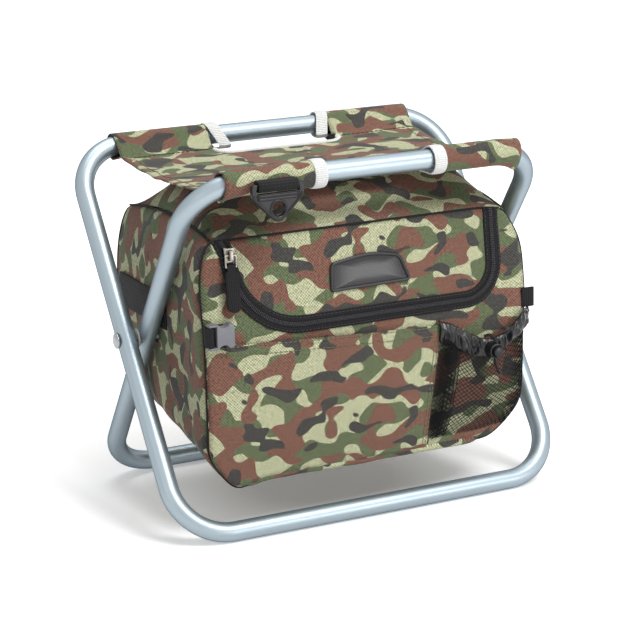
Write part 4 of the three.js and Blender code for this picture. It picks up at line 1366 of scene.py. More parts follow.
    def lip_path(self, place: Place, grow: float) -> Array:
        """Path along the edge of a handle cut-out.

        Args:
            place: The end of the seat.
            grow: Distance outside the cut edge.

        Returns:
            Points on the sling's upper face.
        """
        half, corner = self.cut_half + grow, self.cut_corner + grow
        inner, start = self.cut_edge - grow, self.reach - 1.5 * MM
        right = corner * spokes(np.linspace(0, math.pi / 2, 8)) * [1, -1] + [half - corner, inner + corner]
        left = joined(-right[::-1, 0], right[::-1, 1])
        middle = joined(np.linspace(half - corner, corner - half, 24)[1:-1], inner)
        plan = np.concatenate([[[half, start]], right, middle, left, [[-half, start]]])
        return joined(plan[:, 0] + self.cut_shift, place.value * plan[:, 1], self.top(plan[:, 1]))

    def lip(self, place: Place) -> None:
        """Builds the white binding along the inner edge of a cut-out.

        Args:
            place: The end of the seat.
        """
        path = self.lip_path(place, 0.5 * self.binding - self.lip_overlap) - [0, 0, self.lip_sink]
        tangent, _, _ = path_frame(path)
        normal = everywhere(UPWARD, path)
        side = np.cross(normal, tangent)
        side /= np.linalg.norm(side, axis=1, keepdims=True)
        section = strap_section(self.binding / 2, self.lip_height)
        made = sweep(f"cutout_lip_{place.word}", path, side, normal, section)
        modify(made, "SUBSURF", levels=1, render_levels=1)
        settle(made, BINDING, None, f"cutout_binding_{place.word}")
        self.bend(made, place)

    def stitches(self, place: Place) -> None:
        """Sews the sleeve seam and the side hems.

        Args:
            place: The end of the seat.
        """
        rows, seam_y = [], self.reach - 2 * MM
        for side in (-1, 1):
            inner = self.cut_shift + side * (self.cut_half + 8 * MM)
            outer = self.shift + side * (float(self.half(place.value * seam_y)) - 2 * MM)
            rows.append((np.linspace(inner, outer, 30), np.full(30, seam_y)))
            y = np.linspace(seam_y - 4 * MM, 4 * MM, 40)
            rows.append((self.shift + side * (self.half(place.value * y) - self.hem), y))
        paths = []
        for x, y in rows:
            z = self.top(y) + self.wave(x, y, place) + 0.4 * MM
            points = joined(x, place.value * y, z)
            paths.append((points, everywhere(UPWARD, points)))
        made = self.rows.run(f"sling_stitches_{place.word}", paths, DARK_THREAD, SLING_STITCH)
        settle(made, DARK_THREAD, None)
        self.bend(made, place)


# The strap rings


@dataclass
class StrapRings:
    """A moulded ring on a webbing loop at the front left and the rear right."""

    seat: SlingSeat
    ring_x: float = 88 * MM
    loop_z: float = 283 * MM
    loop_half: float = 17 * MM
    bore: float = 3.05 * MM
    thickness: float = 1.5 * MM
    plate: float = 4 * MM
    ring_half: float = 22 * MM
    top: float = 2 * MM
    shoulder: float = -9 * MM
    tip: float = -31 * MM
    slot_half: float = 17.8 * MM
    slot_z: Pair = (-5.4 * MM, -1.8 * MM)
    hole_z: float = -18 * MM
    hole: float = 5.5 * MM
    rib_z: Pair = (-7.2 * MM, -9.8 * MM)
    rim: float = 1.1 * MM
    rim_inset: float = 1.5 * MM
    rim_sink: float = 0.3 * MM
    edge: float = 0.8 * MM
    cuts: Triple = (3 * MM, 4 * MM, 8.5 * MM)
    slot_cut: float = 1 * MM
    gap: float = 0.3 * MM
    wrap: Pair = (0.15 * math.pi, -1.62 * math.pi)
    sewn_z: Pair = (4.4 * MM, 2 * MM)

    @property
    def bar_y(self) -> float:
        """Distance of a ring's bar from the middle of the seat."""
        return self.seat.tubes.bar_y + self.seat.sleeve_radius + self.gap + self.bore + self.thickness

    def build(self) -> None:
        """Builds both rings and their webbing."""
        for place, body in ((Place.FRONT, Body.RING_FRONT), (Place.REAR, Body.RING_REAR)):
            self.ring(place, body)
            self.webbing(place)

    def hang(self, flat: Array, out: Array | float, place: Place) -> Array:
        """Stands flat points of a ring up at its place.

        Args:
            flat: Pairs across and up from the ring's bar.
            out: Distance in front of the ring's middle.
            place: The end of the seat.

        Returns:
            Positions, with three numbers each.
        """
        across, up = np.moveaxis(flat, -1, 0)
        x, y = place.value * (self.ring_x - across), place.value * (self.bar_y + out)
        return joined(x, y, self.loop_z + up)

    def outline(self, inset: float) -> Array:
        """Outline of a ring at a distance inside its edge.

        Args:
            inset: The distance inside the edge.

        Returns:
            Pairs across and up from the ring's bar.
        """
        half, low = self.ring_half - inset, self.tip + inset * math.sqrt(2)
        knee = self.shoulder + inset * math.tan(math.pi / 8)
        high, bend, point = self.cuts
        left = [(-half, self.top - inset, high), (-half, knee, bend)]
        return rounded([*left, (0, low, point), *[(-x, z, cut) for x, z, cut in left[::-1]]])

    def ring(self, place: Place, body: Body) -> None:
        """Builds a ring: plate with slot and hole, raised rim, boss round the hole and two ribs.

        Args:
            place: The end of the seat.
            body: The body that swings with the ring.
        """
        (low, high), half = self.slot_z, self.slot_half
        spots = ((-half, low), (half, low), (half, high), (-half, high))
        slot = rounded([(*spot, self.slot_cut) for spot in spots])
        eye, turn = np.array([0, self.hole_z]), circle(40)
        outlines = [self.outline(0.0), slot, eye + self.hole * turn]
        made = plate(f"ring_{place.word}", outlines, self.plate, self.edge)
        flat = mesh_points(made.data)
        made.data.vertices.foreach_set("co", self.hang(flat[:, :2], flat[:, 2], place).ravel())
        settle(made, RING_PLASTIC, body, f"strap_ring_{place.word}")
        rim = self.outline(self.rim_inset)
        paths = {"rim": rim[rim[:, 1] < low], "boss": eye + (self.hole + self.rim) * turn}
        for number, z in enumerate(self.rib_z):
            paths[f"rib_{number}"] = joined(np.linspace(-half, half, 12), z)
        for word, path in paths.items():
            line = self.hang(path, self.plate / 2 - self.rim_sink, place)
            settle(tube(f"ring_{word}_{place.word}", line, self.rim, 10, word == "boss"), RING_PLASTIC, body)

    def webbing(self, place: Place) -> None:
        """Builds the webbing that is sewn to the sleeve and passes round the ring's bar.

        Args:
            place: The end of the seat.
        """
        radius = self.bore + 0.05 * MM
        loop = radius * spokes(np.linspace(*self.wrap, 28)) * [-1, 1]
        sewn = np.array([[-radius - 0.1 * MM, z] for z in np.linspace(*self.sewn_z, 3)])
        out, up = np.concatenate([sewn, loop]).T
        x = place.value * self.ring_x
        path = joined(x, place.value * (self.bar_y + out), self.loop_z + up)
        tangent, _, _ = path_frame(path)
        side = everywhere((1, 0, 0), path)
        normal = np.cross(tangent, side)
        away = path - np.array([x, place.value * self.bar_y, self.loop_z])
        if np.sum(normal * away) < 0:
            normal = -normal
        section = strap_section(self.loop_half, self.thickness)
        made = sweep(f"ring_webbing_{place.word}", path, side, normal, section)
        settle(made, WEBBING, place.body, f"strap_loop_{place.word}")


# The bag


@dataclass
class BagForm:
    """Outer form of the bag: section, outline, soft crown and rounded seams."""

    half: float = 141.5 * MM
    corner: float = 35 * MM
    bottom: float = 43 * MM
    shoulder: float = 190 * MM
    seam_z: float = 238 * MM
    seam_half: float = 129 * MM
    section_ease: float = 14 * MM
    section_z: Numbers = (43 * MM, 95 * MM, 156 * MM, 238 * MM)
    section_y: Numbers = (92 * MM, 95 * MM, 95 * MM, 83.5 * MM)
    slope: float = 0.2
    slope_from: float = -92 * MM
    slope_top: float = 150 * MM
    slope_fade: float = 60 * MM
    edge: float = 7 * MM
    crown: float = 1.8 * MM
    fuller_from: float = 118 * MM
    fuller_left: float = 3 * MM
    fuller_z: Numbers = (90 * MM, 130 * MM, 170 * MM)
    fuller_right: Numbers = (2.5 * MM, 3.3 * MM, 6.3 * MM)
    arch: float = 7 * MM
    shoulder_spot: Pair = (138 * MM, 232 * MM)
    shoulder_size: float = 13 * MM
    shoulder_draw: Pair = (-2.5 * MM, -3.5 * MM)
    tip: Pair = (-118 * MM, 44 * MM)
    tip_size: float = 10 * MM
    tip_drop: Pair = (-1.2 * MM, -6.2 * MM)
    soft_corner: Pair = (131 * MM, 53 * MM)
    soft_size: float = 16 * MM
    soft_draw: float = 3.2 * MM
    front_from: float = 45 * MM
    front_fade: float = 40 * MM
    ripple: float = 0.7 * MM
    folds: Folds = field(default_factory=lambda: Folds(5, 60 * MM))

    def depth(self, z: Array) -> Array:
        """Distance of the front or back from the middle, with the section's corners eased."""
        return eased(z, self.section_z, self.section_y, self.section_ease)

    def width(self, z: Array) -> Array:
        """Half of the bag's width at a height.

        Args:
            z: Heights.

        Returns:
            Half of the width at each height.
        """
        under = self.bottom + self.corner - np.asarray(z, float)
        low = self.half - self.corner + np.sqrt(np.clip(self.corner**2 - under**2, 0, None))
        past = np.clip((np.asarray(z, float) - self.shoulder) / (self.seam_z - self.shoulder), 0, 1)
        high = self.seam_half + (self.half - self.seam_half) * np.sqrt(1 - past**2)
        return np.where(under > 0, low, high)

    def filled(self, points: Array) -> Array:
        """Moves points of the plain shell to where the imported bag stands.

        Its front edges are fuller, its lower left corner droops to a tip, and its right corners are softer.

        Args:
            points: Points of the plain shell.

        Returns:
            The moved points.
        """
        x, y, z = np.moveaxis(points, -1, 0)
        near = np.clip((-y - self.front_from) / self.front_fade, 0, 1)
        front = near**2 * (3 - 2 * near)
        span = self.half - self.fuller_from
        left, right = (np.clip((side * x - self.fuller_from) / span, 0, 1) ** 1.5 for side in (-1, 1))
        swell = right * np.interp(z, self.fuller_z, self.fuller_right) - left * self.fuller_left
        moved = points.copy()
        moved[..., 0] += front * swell
        pulls = (
            (self.tip, self.tip_size, self.tip_drop, front),
            (self.shoulder_spot, self.shoulder_size, self.shoulder_draw, front),
            (self.soft_corner, self.soft_size, (-self.soft_draw, self.soft_draw), 1.0),
        )
        for spot, size, pull, share in pulls:
            weight = share * np.exp(-((x - spot[0]) ** 2 + (z - spot[1]) ** 2) / (2 * size**2))
            moved[..., 0] += pull[0] * weight
            moved[..., 2] += pull[1] * weight
        return moved

    def arched(self, y: Array) -> Array:
        """How far the side seams of the top stand above their ends."""
        return self.arch * np.clip(1 - (np.asarray(y) / self.section_y[-1]) ** 2, 0, 1)

    def rise(self, y: Array, z: Array) -> Array:
        """How far the bottom lifts towards the rear."""
        low = np.clip((self.slope_top - z) / self.slope_fade, 0, 1)
        return self.slope * np.clip(y - self.slope_from, 0, None) * low

    def outline(self, step: float) -> Array:
        """The U of the side and bottom seam, from the left top to the right top.

        Args:
            step: Distance between points.

        Returns:
            Pairs of X and Z.
        """
        side = np.linspace(self.seam_z, self.bottom + self.corner, 80)
        centre = [self.corner - self.half, self.bottom + self.corner]
        arc = self.corner * spokes(np.linspace(math.pi, 1.5 * math.pi, 24)) + centre
        left = np.concatenate([joined(-self.width(side), side), arc])
        return even_steps(np.concatenate([left, left[::-1] * [-1, 1]]), step)

    def seam_shift(self, distance: Array) -> Array:
        """How far cloth draws in near a seam, where its edge turns through half a right angle."""
        reach = 0.71 * self.edge
        return 0.29 * self.edge * np.clip(1 - distance / reach, 0, 1) ** 2

    def edge_distance(self, x: Array, z: Array) -> Array:
        """Distance of a point of the front or back from its nearest seam.

        Args:
            x: Places across.
            z: Heights.

        Returns:
            The distance at each point.
        """
        border = self.outline(3 * MM)
        spots = joined(np.ravel(x), np.ravel(z))
        near = np.sqrt(np.min(((spots[:, None] - border[None]) ** 2).sum(-1), axis=1)).reshape(np.shape(x))
        return np.minimum(near, np.abs(self.seam_z - z))

    def plain_face(self, x: Array, z: Array, lift: float = 0.0) -> Array:
        """Points on the front of the plain shell.

        Args:
            x: Places across.
            z: Heights.
            lift: Distance in front of the cloth.

        Returns:
            Positions, with three numbers each.
        """
        x, z = np.broadcast_arrays(np.asarray(x, float), np.asarray(z, float))
        across = np.clip(1 - (x / self.width(z)) ** 2, 0, 1)
        upright = np.sin(math.pi * np.clip((z - self.bottom) / (self.seam_z - self.bottom), 0, 1))
        wave = self.ripple * self.folds.at(x, z) * np.sqrt(across * upright)
        out = self.depth(z) + self.crown * across * upright + wave
        out = out - self.seam_shift(self.edge_distance(x, z)) + lift
        return joined(x, -out, z)

    def face(self, x: Array, z: Array, lift: float = 0.0) -> Array:
        """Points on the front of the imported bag, at a distance in front of its cloth."""
        return self.filled(self.plain_face(x, z, lift))


@dataclass
class Doorway:
    """The U-shaped doorway in the bag's front."""

    hinge_y: float = -83.5 * MM
    hinge_z: float = 238 * MM
    left_top: float = 129 * MM
    right_top: float = 125.5 * MM
    low_half: float = 124 * MM
    height: float = 79.2 * MM
    left_corner: float = 66 * MM
    right_corner: float = 36 * MM

    def sides(self, z: Array, inset: float) -> tuple[Array, Array]:
        """Distance of the doorway's left and right edges from the middle, below zero under it.

        Args:
            z: Height above the floor.
            inset: Distance inside the doorway's edge.

        Returns:
            The two distances.
        """
        down = self.hinge_z - np.asarray(z, float)
        made = []
        for corner, top in ((self.left_corner, self.left_top), (self.right_corner, self.right_top)):
            straight = self.height - corner
            side = top + (self.low_half - top) * np.clip(down / straight, 0, 1) - inset
            low = np.clip(down - straight, 0, None)
            inside = (corner - inset) ** 2 - low**2
            curved = self.low_half - corner + np.sqrt(np.clip(inside, 0, None))
            made.append(np.where(low > 0, np.where(inside > 0, curved, -1.0), side))
        return made[0], made[1]

    def path(self, inset: float, step: float = 3 * MM) -> Array:
        """The U at a distance inside the doorway's edge, from the left top to the right top.

        Args:
            inset: Distance inside the edge.
            step: Distance between points.

        Returns:
            Pairs of X and Z.
        """
        turn = spokes(np.linspace(math.pi, 1.5 * math.pi, 24))
        low = self.hinge_z - self.height
        arcs = [
            (corner - inset) * turn + [corner - self.low_half, low + corner]
            for corner in (self.left_corner, self.right_corner)
        ]
        ends = [[[x, self.hinge_z - 1 * MM]] for x in (inset - self.left_top, self.right_top - inset)]
        return even_steps(np.concatenate([ends[0], arcs[0], arcs[1][::-1] * [-1, 1], ends[1]]), step)


@dataclass
class CoolerBag:
    """Sewn shell of the bag with piped seams, insulation and lining."""

    form: BagForm
    doorway: Doorway
    fabric: float = 1.3 * MM
    piping: float = 0.8 * MM
    hip: float = 30 * MM
    eaves_drop: float = 8 * MM
    inset: float = 2 * MM
    door_overlap: float = 4 * MM
    gusset_step: float = 5 * MM
    bulge: float = 1.2 * MM
    bulge_from: float = 60 * MM
    bulge_rise: float = 60 * MM
    bulge_fade: float = 40 * MM
    creases: Pair = (0.8 * MM, 0.6 * MM)
    arch_from: float = 190 * MM
    top_y: Numbers = (0, 32 * MM, 57 * MM, 83.5 * MM)
    top_z: Numbers = (269.2 * MM, 267.5 * MM, 254.5 * MM, 238 * MM)
    top_flat: float = 40 * MM
    top_ripple: float = 0.6 * MM
    welt_x: Pair = (-116 * MM, 108 * MM)
    welt_radius: float = 3.3 * MM
    welt_wave: float = 0.7 * MM
    seam_draw: float = 1.6 * MM
    seam_sink: float = 1.4 * MM

    def build(self) -> None:
        """Builds the panels, seams and inner layers."""
        self.front()
        self.back()
        self.gusset()
        self.top()
        self.welt()
        self.seams()
        foam = self.under_top(cad_copy("foam_walls", "insulation_foam", 1.5 * MM, 2))
        settle(foam, FOAM_SKIN, Body.BAG, "insulation_foam")
        lining = self.under_top(cad_copy("inner_lining", "cooler_lining", 3 * MM, 3))
        settle(lining, LINING_SKIN, Body.BAG, "cooler_lining")

    def hipped(self, x: Array) -> Array:
        """Share of the top's rise at a place across: 1 in the middle and 0 at the side seams."""
        return 1 - np.clip((np.abs(x) - self.form.seam_half + self.hip) / self.hip, 0, 1) ** 2

    def under_top(self, piece: Object) -> Object:
        """Lets the upper part of an inner layer follow the top down to the side seams.

        Args:
            piece: The inner layer.

        Returns:
            The same piece.
        """
        eaves = self.form.seam_z - self.eaves_drop
        for vertex in piece.data.vertices:
            if vertex.co.z > eaves:
                vertex.co.z = eaves + (vertex.co.z - eaves) * float(self.hipped(np.array(vertex.co.x)))
        return piece

    def rows(self) -> tuple[Array, Array]:
        """Places of the points of the front and back panels.

        Returns:
            Places across and heights.
        """
        tall = self.form.seam_z - self.form.bottom - 3 * MM
        z = self.form.bottom + self.inset + tall * np.linspace(0, 1, 52)[:, None]
        x = np.linspace(-1, 1, 72) * (self.form.width(z) - self.inset)
        return x, np.broadcast_to(z, x.shape)

    def front(self) -> None:
        """Builds the front panel round the doorway."""
        x, z = self.rows()
        middle = cell_middles(x)
        left, right = self.doorway.sides(cell_middles(z), self.door_overlap)
        keep = (middle < -left) | (middle > right)
        made = grid("bag_front", self.form.face(x, z), joined(x, z), keep, INSIDE)
        settle(thicken(made, self.fabric), CAMO, Body.BAG, "bag_front_panel")

    def back(self) -> None:
        """Builds the plain back panel."""
        x, z = self.rows()
        points = self.form.filled(self.form.plain_face(x, z) * [1, -1, 1])
        points[..., 2] += self.form.rise(points[..., 1], z)
        made = grid("bag_back", points, points[..., ::2] * [-1, 1] + PRINT_CUT["back"], None, INSIDE)
        settle(thicken(made, self.fabric), CAMO, Body.BAG, "bag_back_panel")

    def swell(self, along: Array, y: Array, z: Array) -> Array:
        """How far the gusset's cloth stands out of its flat form.

        Args:
            along: Distance along the gusset from its left top.
            y: Places across the gusset.
            z: Heights.

        Returns:
            The distance at each point.
        """
        reach = self.form.depth(z) - self.inset
        sag = np.sin(math.pi * (y / reach + 1) / 2)
        side = np.clip((z - self.bulge_from) / self.bulge_rise, 0, 1)
        side = side * np.clip((self.form.seam_z - z) / self.bulge_fade, 0, 1)
        wide, fine = self.creases
        creases = wide * self.form.folds.at(along, y) + fine * Folds(8, 32 * MM).at(along, y)
        return (self.bulge * side + creases) * sag - self.form.seam_shift(reach - np.abs(y))

    def side_points(self, side: int, y: Array, z: Array, lift: float) -> Array:
        """Points outside the upright part of one side.

        Args:
            side: -1 for the left side and 1 for the right one.
            y: Places across the gusset.
            z: Heights.
            lift: Distance outside the cloth.

        Returns:
            Positions, with three numbers each.
        """
        line = self.form.outline(self.gusset_step)
        run = np.arange(len(line)) * self.gusset_step
        left = len(line) // 2
        down = np.interp(z, line[:left, 1][::-1], run[:left][::-1])
        out = self.swell(down if side < 0 else run[-1] - down, y, z)
        return joined(side * (self.form.width(z) + out + lift), y, z)

    def gusset(self) -> None:
        """Builds the strip that runs down one side, under the bottom and up the other."""
        line = self.form.outline(self.gusset_step)
        step = np.gradient(line, axis=0)
        outward = joined(step[:, 1], -step[:, 0])
        outward /= np.linalg.norm(outward, axis=1, keepdims=True)
        z = line[:, 1:]
        y = np.linspace(-1, 1, 44) * (self.form.depth(z) - self.inset)
        along = np.arange(len(line))[:, None] * self.gusset_step
        out = self.swell(along, y, z)
        points = joined(line[:, :1] + outward[:, :1] * out, y, z + outward[:, 1:] * out)
        high = np.clip((points[..., 2] - self.arch_from) / (self.form.seam_z - self.arch_from), 0, 1) ** 2
        points[..., 2] += self.form.rise(points[..., 1], points[..., 2]) + high * self.form.arched(y)
        uv = joined(along, y) + PRINT_CUT["sides"]
        made = grid("bag_sides", self.form.filled(points), uv, None, INSIDE)
        settle(thicken(made, self.fabric), CAMO, Body.BAG, "bag_gusset")

    def top(self) -> None:
        """Builds the top that rises from the side seams to the ridge under the seat."""
        y = np.linspace(-self.top_y[-1], self.top_y[-1], 46)[:, None]
        z = np.interp(np.abs(y), self.top_y, self.top_z)
        share = np.sign(np.linspace(-1, 1, 80)) * np.abs(np.linspace(-1, 1, 80)) ** 0.7
        x, y = np.broadcast_arrays(share * (self.form.seam_half - 1 * MM), y)
        soft = np.sin(math.pi * np.linspace(0, 1, 46))[:, None] * (1 - share**6) * (np.abs(y) > self.top_flat)
        eaves = self.form.seam_z + self.form.arched(y)
        wave = self.top_ripple * self.form.folds.at(x + 0.2, y) * soft
        points = joined(x, y, eaves + (z - eaves) * self.hipped(x) + wave)
        along = run_length(np.concatenate([y[:, :1], z], axis=1))
        uv = joined(x, along[:, None]) + PRINT_CUT["top"]
        made = grid("bag_top", self.form.filled(points), uv, None, INSIDE)
        settle(thicken(made, self.fabric), CAMO, Body.BAG, "bag_top_panel")

    def welt(self) -> None:
        """Rolls the bottom's cloth into a welt under the front seam."""
        x = np.linspace(*self.welt_x, 60)
        tuck = np.clip((np.abs(x - sum(self.welt_x) / 2) - 96 * MM) / (16 * MM), 0, 1) ** 2
        z = self.form.bottom + 1.6 * MM + 5 * MM * tuck + self.welt_wave * Folds(9, 45 * MM).at(x, 0 * x)
        path = joined(x, 7 * MM * tuck - self.form.depth(z) + 2 * MM, z)
        settle(tube("front_welt", self.form.filled(path), self.welt_radius, 14), CAMO, Body.BAG)

    def seams(self) -> None:
        """Lays piping along the seams of the front, back and top; the dark cord along the top's front seam
        also paints the shadow under the top panel's edge.
        """
        line = self.form.outline(4 * MM)
        inward = np.array(INSIDE)[::2] - line
        drawn = line + inward / np.linalg.norm(inward, axis=1, keepdims=True) * self.seam_draw
        front = np.insert(drawn, 1, self.seam_sink - self.form.depth(line[:, 1]), axis=1)
        back = front * [1, -1, 1]
        back[:, 2] += self.form.rise(back[:, 1], back[:, 2])
        across = np.linspace(-1, 1, 40) * (self.form.seam_half - 2 * MM)
        over = joined(across, self.doorway.hinge_y + 0.4 * MM, self.form.seam_z - 0.4 * MM)
        y = np.linspace(-0.98, 0.98, 40) * self.form.section_y[-1]
        right = joined(self.form.seam_half + 0.5 * MM, y, self.form.seam_z + self.form.arched(y))
        runs = {
            "front": front,
            # Painted shadow: this dark cord stands for the shadow under the top panel's front edge as well as
            # for its piping.
            "back": back,
            "top_front_shadow_line": over,
            "top_back": over * [1, -1, 1],
            "top_left": right * [-1, 1, 1],
            "top_right": right,
        }
        for word, path in runs.items():
            settle(tube(f"piping_{word}", self.form.filled(path), self.piping, 10), SEAM_PIPING_AND_SHADOW, Body.BAG)


# The zipped door


@dataclass
class FlapDoor:
    """Flap door with its insulation, U-shaped coil zip, slider, pull and plain patch."""

    form: BagForm
    doorway: Doorway
    rows: RowTree
    zip_width: float = 14 * MM
    tape: float = 0.9 * MM
    patch_centre: Pair = (3.5 * MM, 199.9 * MM)
    patch_half: Pair = (36 * MM, 12 * MM)
    tab_curl: float = 2 * MM
    pad_puff: float = 6 * MM
    pad_lean: float = 7.9833
    pad_front: float = 4 * MM
    channels: Numbers = (-66 * MM, -22 * MM, 22 * MM, 66 * MM)
    channel: float = 5 * MM
    channel_depth: float = 4 * MM
    channel_ease: float = 2 * MM
    fabric: float = 1.2 * MM
    tape_facing: Triple = (0.0, -1.0, 0.12)
    coil_gap: float = 0.8 * MM
    stitch_inset: float = 1.8 * MM
    patch_rings: Numbers = (1, 0.95, 0.88, 0.76, 0.6, 0.42, 0.2, 0)
    patch_crown: float = 2 * MM
    patch_edge: float = 1.35 * MM

    def build(self) -> None:
        """Builds the door and everything on it."""
        self.panel()
        self.pad()
        self.zip()
        self.slider()
        self.patch()

    def panel(self) -> None:
        """Builds the cloth of the door."""
        inset = self.zip_width - 3 * MM
        low = self.doorway.hinge_z - self.doorway.height + inset + 0.2 * MM
        z = low + (self.doorway.hinge_z - 1.2 * MM - low) * np.linspace(0, 1, 34) ** 1.6
        left, right = self.doorway.sides(z, inset)
        x = -left[:, None] + (left + right)[:, None] * np.linspace(0, 1, 64)
        x, z = np.broadcast_arrays(x, z[:, None])
        uv = joined(x, z) + PRINT_CUT["door"]
        made = grid("door_cloth", self.form.face(x, z), uv, None, INSIDE)
        settle(thicken(made, self.fabric), CAMO, Body.DOOR, "front_door")

    def pad(self) -> None:
        """Fills the pad behind the door's cloth, then draws its sewn channels in."""
        made = cad_copy("door_pad", "door_insulation", 1.0 * MM, 1)
        modify(made, "DISPLACE", strength=-0.5 * MM, mid_level=0.0)
        puffed(made, 2 * MM, 4.0, (0.5 * MM, self.pad_puff))
        lean = math.radians(self.pad_lean)
        spots = mesh_points(made.data)
        behind = (spots[:, 1] - self.doorway.hinge_y) * math.cos(lean)
        inside = behind - (spots[:, 2] - self.doorway.hinge_z) * math.sin(lean)
        deep = np.clip((inside - self.pad_front) / self.channel_ease, 0, 1)
        drawn = sum(np.exp(-(((spots[:, 0] - x) / self.channel) ** 2)) for x in self.channels)
        spots[:, 1] -= deep * self.channel_depth * drawn
        made.data.vertices.foreach_set("co", spots.ravel())
        settle(made, FOAM_SKIN, Body.DOOR, "door_insulation")

    def ribbon(self, name: str, inset: float) -> Object:
        """Builds a tape along the U of the zip.

        Args:
            name: Name of the piece.
            inset: Distance of its middle inside the doorway's edge.

        Returns:
            The tape.
        """
        line = self.doorway.path(inset)
        path = self.form.face(line[:, 0], line[:, 1], 0.2 * MM)
        tangent, _, _ = path_frame(path)
        side = np.cross(tangent, everywhere(self.tape_facing, path))
        side /= np.linalg.norm(side, axis=1, keepdims=True)
        section = strap_section(self.zip_width / 4 - 0.15 * MM, self.tape)
        return sweep(name, path, side, np.cross(side, tangent), section)

    def row(
        self, name: str, line: Array, lift: float, finish: Finish, rod: Rod, body: Body, tilt: float
    ) -> None:
        """Sets a row of rods along the zip.

        Args:
            name: Name of the piece.
            line: Pairs of X and Z along the row.
            lift: Distance of the row in front of the tape.
            finish: Finish of the rods.
            rod: Size of the rods.
            body: The body that carries them.
            tilt: Turn of each rod from the row's direction.
        """
        points = self.form.face(line[:, 0], line[:, 1], self.tape + lift)
        paths = [(points, everywhere(FORWARD, points))]
        settle(self.rows.run(name, paths, finish, rod, (tilt, 0, 0)), finish, body)

    def zip(self) -> None:
        """Builds both tapes, the coil between them and the stitches along them."""
        middle, quarter = self.zip_width / 2, self.zip_width / 4
        settle(self.ribbon("zip_tape_outer", quarter - 0.1 * MM), ZIP_TAPE, Body.BAG, "zip_tape_fixed")
        settle(self.ribbon("zip_tape_inner", 3 * quarter), ZIP_TAPE, Body.DOOR, "zip_tape_door")
        for word, side, body in (("outer", -1, Body.BAG), ("inner", 1, Body.DOOR)):
            coil = self.doorway.path(middle + side * self.coil_gap, 2 * MM)
            self.row(f"zip_coil_{word}", coil, 0.5 * MM, COIL, ZIP_TOOTH, body, math.pi / 2)
            seam = self.doorway.path(middle + side * (middle - self.stitch_inset))
            self.row(f"zip_stitches_{word}", seam, 0.3 * MM, ZIP_THREAD, ZIP_STITCH, body, 0.0)

    def slider(self) -> None:
        """Dresses the slider, its wire link and its pull tab."""
        settle(cad_copy("slider_body", "zip_slider", 0.45 * MM), ZIP_METAL, Body.SLIDER, "zip_slider")
        settle(cad_copy("pull_link", "zip_pull_link", 0.4 * MM), ZIP_METAL, Body.PULL, "zip_pull_link")
        tab = box_map(cad_copy("pull_tab", "zip_pull_tab", 0.7 * MM))
        heights = [vertex.co.z for vertex in tab.data.vertices]
        for vertex in tab.data.vertices:
            vertex.co.y -= self.tab_curl * ((max(heights) - vertex.co.z) / (max(heights) - min(heights))) ** 2
        settle(tab, WEBBING, Body.PULL, "zip_pull_tab")

    def patch_outline(self, inset: float) -> Array:
        """Outline of the patch: flat below, crowned above, with round corners.

        Args:
            inset: Distance inside the patch's edge.

        Returns:
            Pairs of X and Z round the patch.
        """
        half, tall = self.patch_half
        shape = rounded(
            (
                (-half, -tall, 2.5 * MM),
                (half, -tall + 1 * MM, 3 * MM),
                (half - 8 * MM, tall - 2 * MM, 6 * MM),
                (0, tall + 3 * MM, 90 * MM),
                (-half + 1.5 * MM, tall - 3 * MM, 4 * MM),
            )
        )
        inward = -shape / np.linalg.norm(shape, axis=1, keepdims=True)
        return shape + inward * inset + np.array(self.patch_centre)

    def patch(self) -> None:
        """Builds the plain satin patch with its raised edge."""
        rim = self.patch_outline(1 * MM)
        path = self.form.face(rim[:, 0], rim[:, 1], 0.9 * MM)
        settle(tube("patch_edge", path, self.patch_edge, 10, True), PATCH_EDGE, Body.DOOR, "door_patch")
        outline, centre = self.patch_outline(0.6 * MM), np.array(self.patch_centre)
        scales = np.array(self.patch_rings)[:, None]
        rings = centre + (outline - centre) * scales[..., None]
        lifts = 0.5 * MM + self.patch_crown * (1 - scales**2.5)
        points = np.stack([self.form.face(ring[:, 0], ring[:, 1]) for ring in rings])
        points[..., 1] -= lifts
        made = grid("patch_face", points, rings, None, INSIDE, True)
        modify(made, "WELD", merge_threshold=0.01 * MM)
        settle(thicken(made, 0.4 * MM), PATCH_SKIN, Body.DOOR, "door_patch")


# The pockets


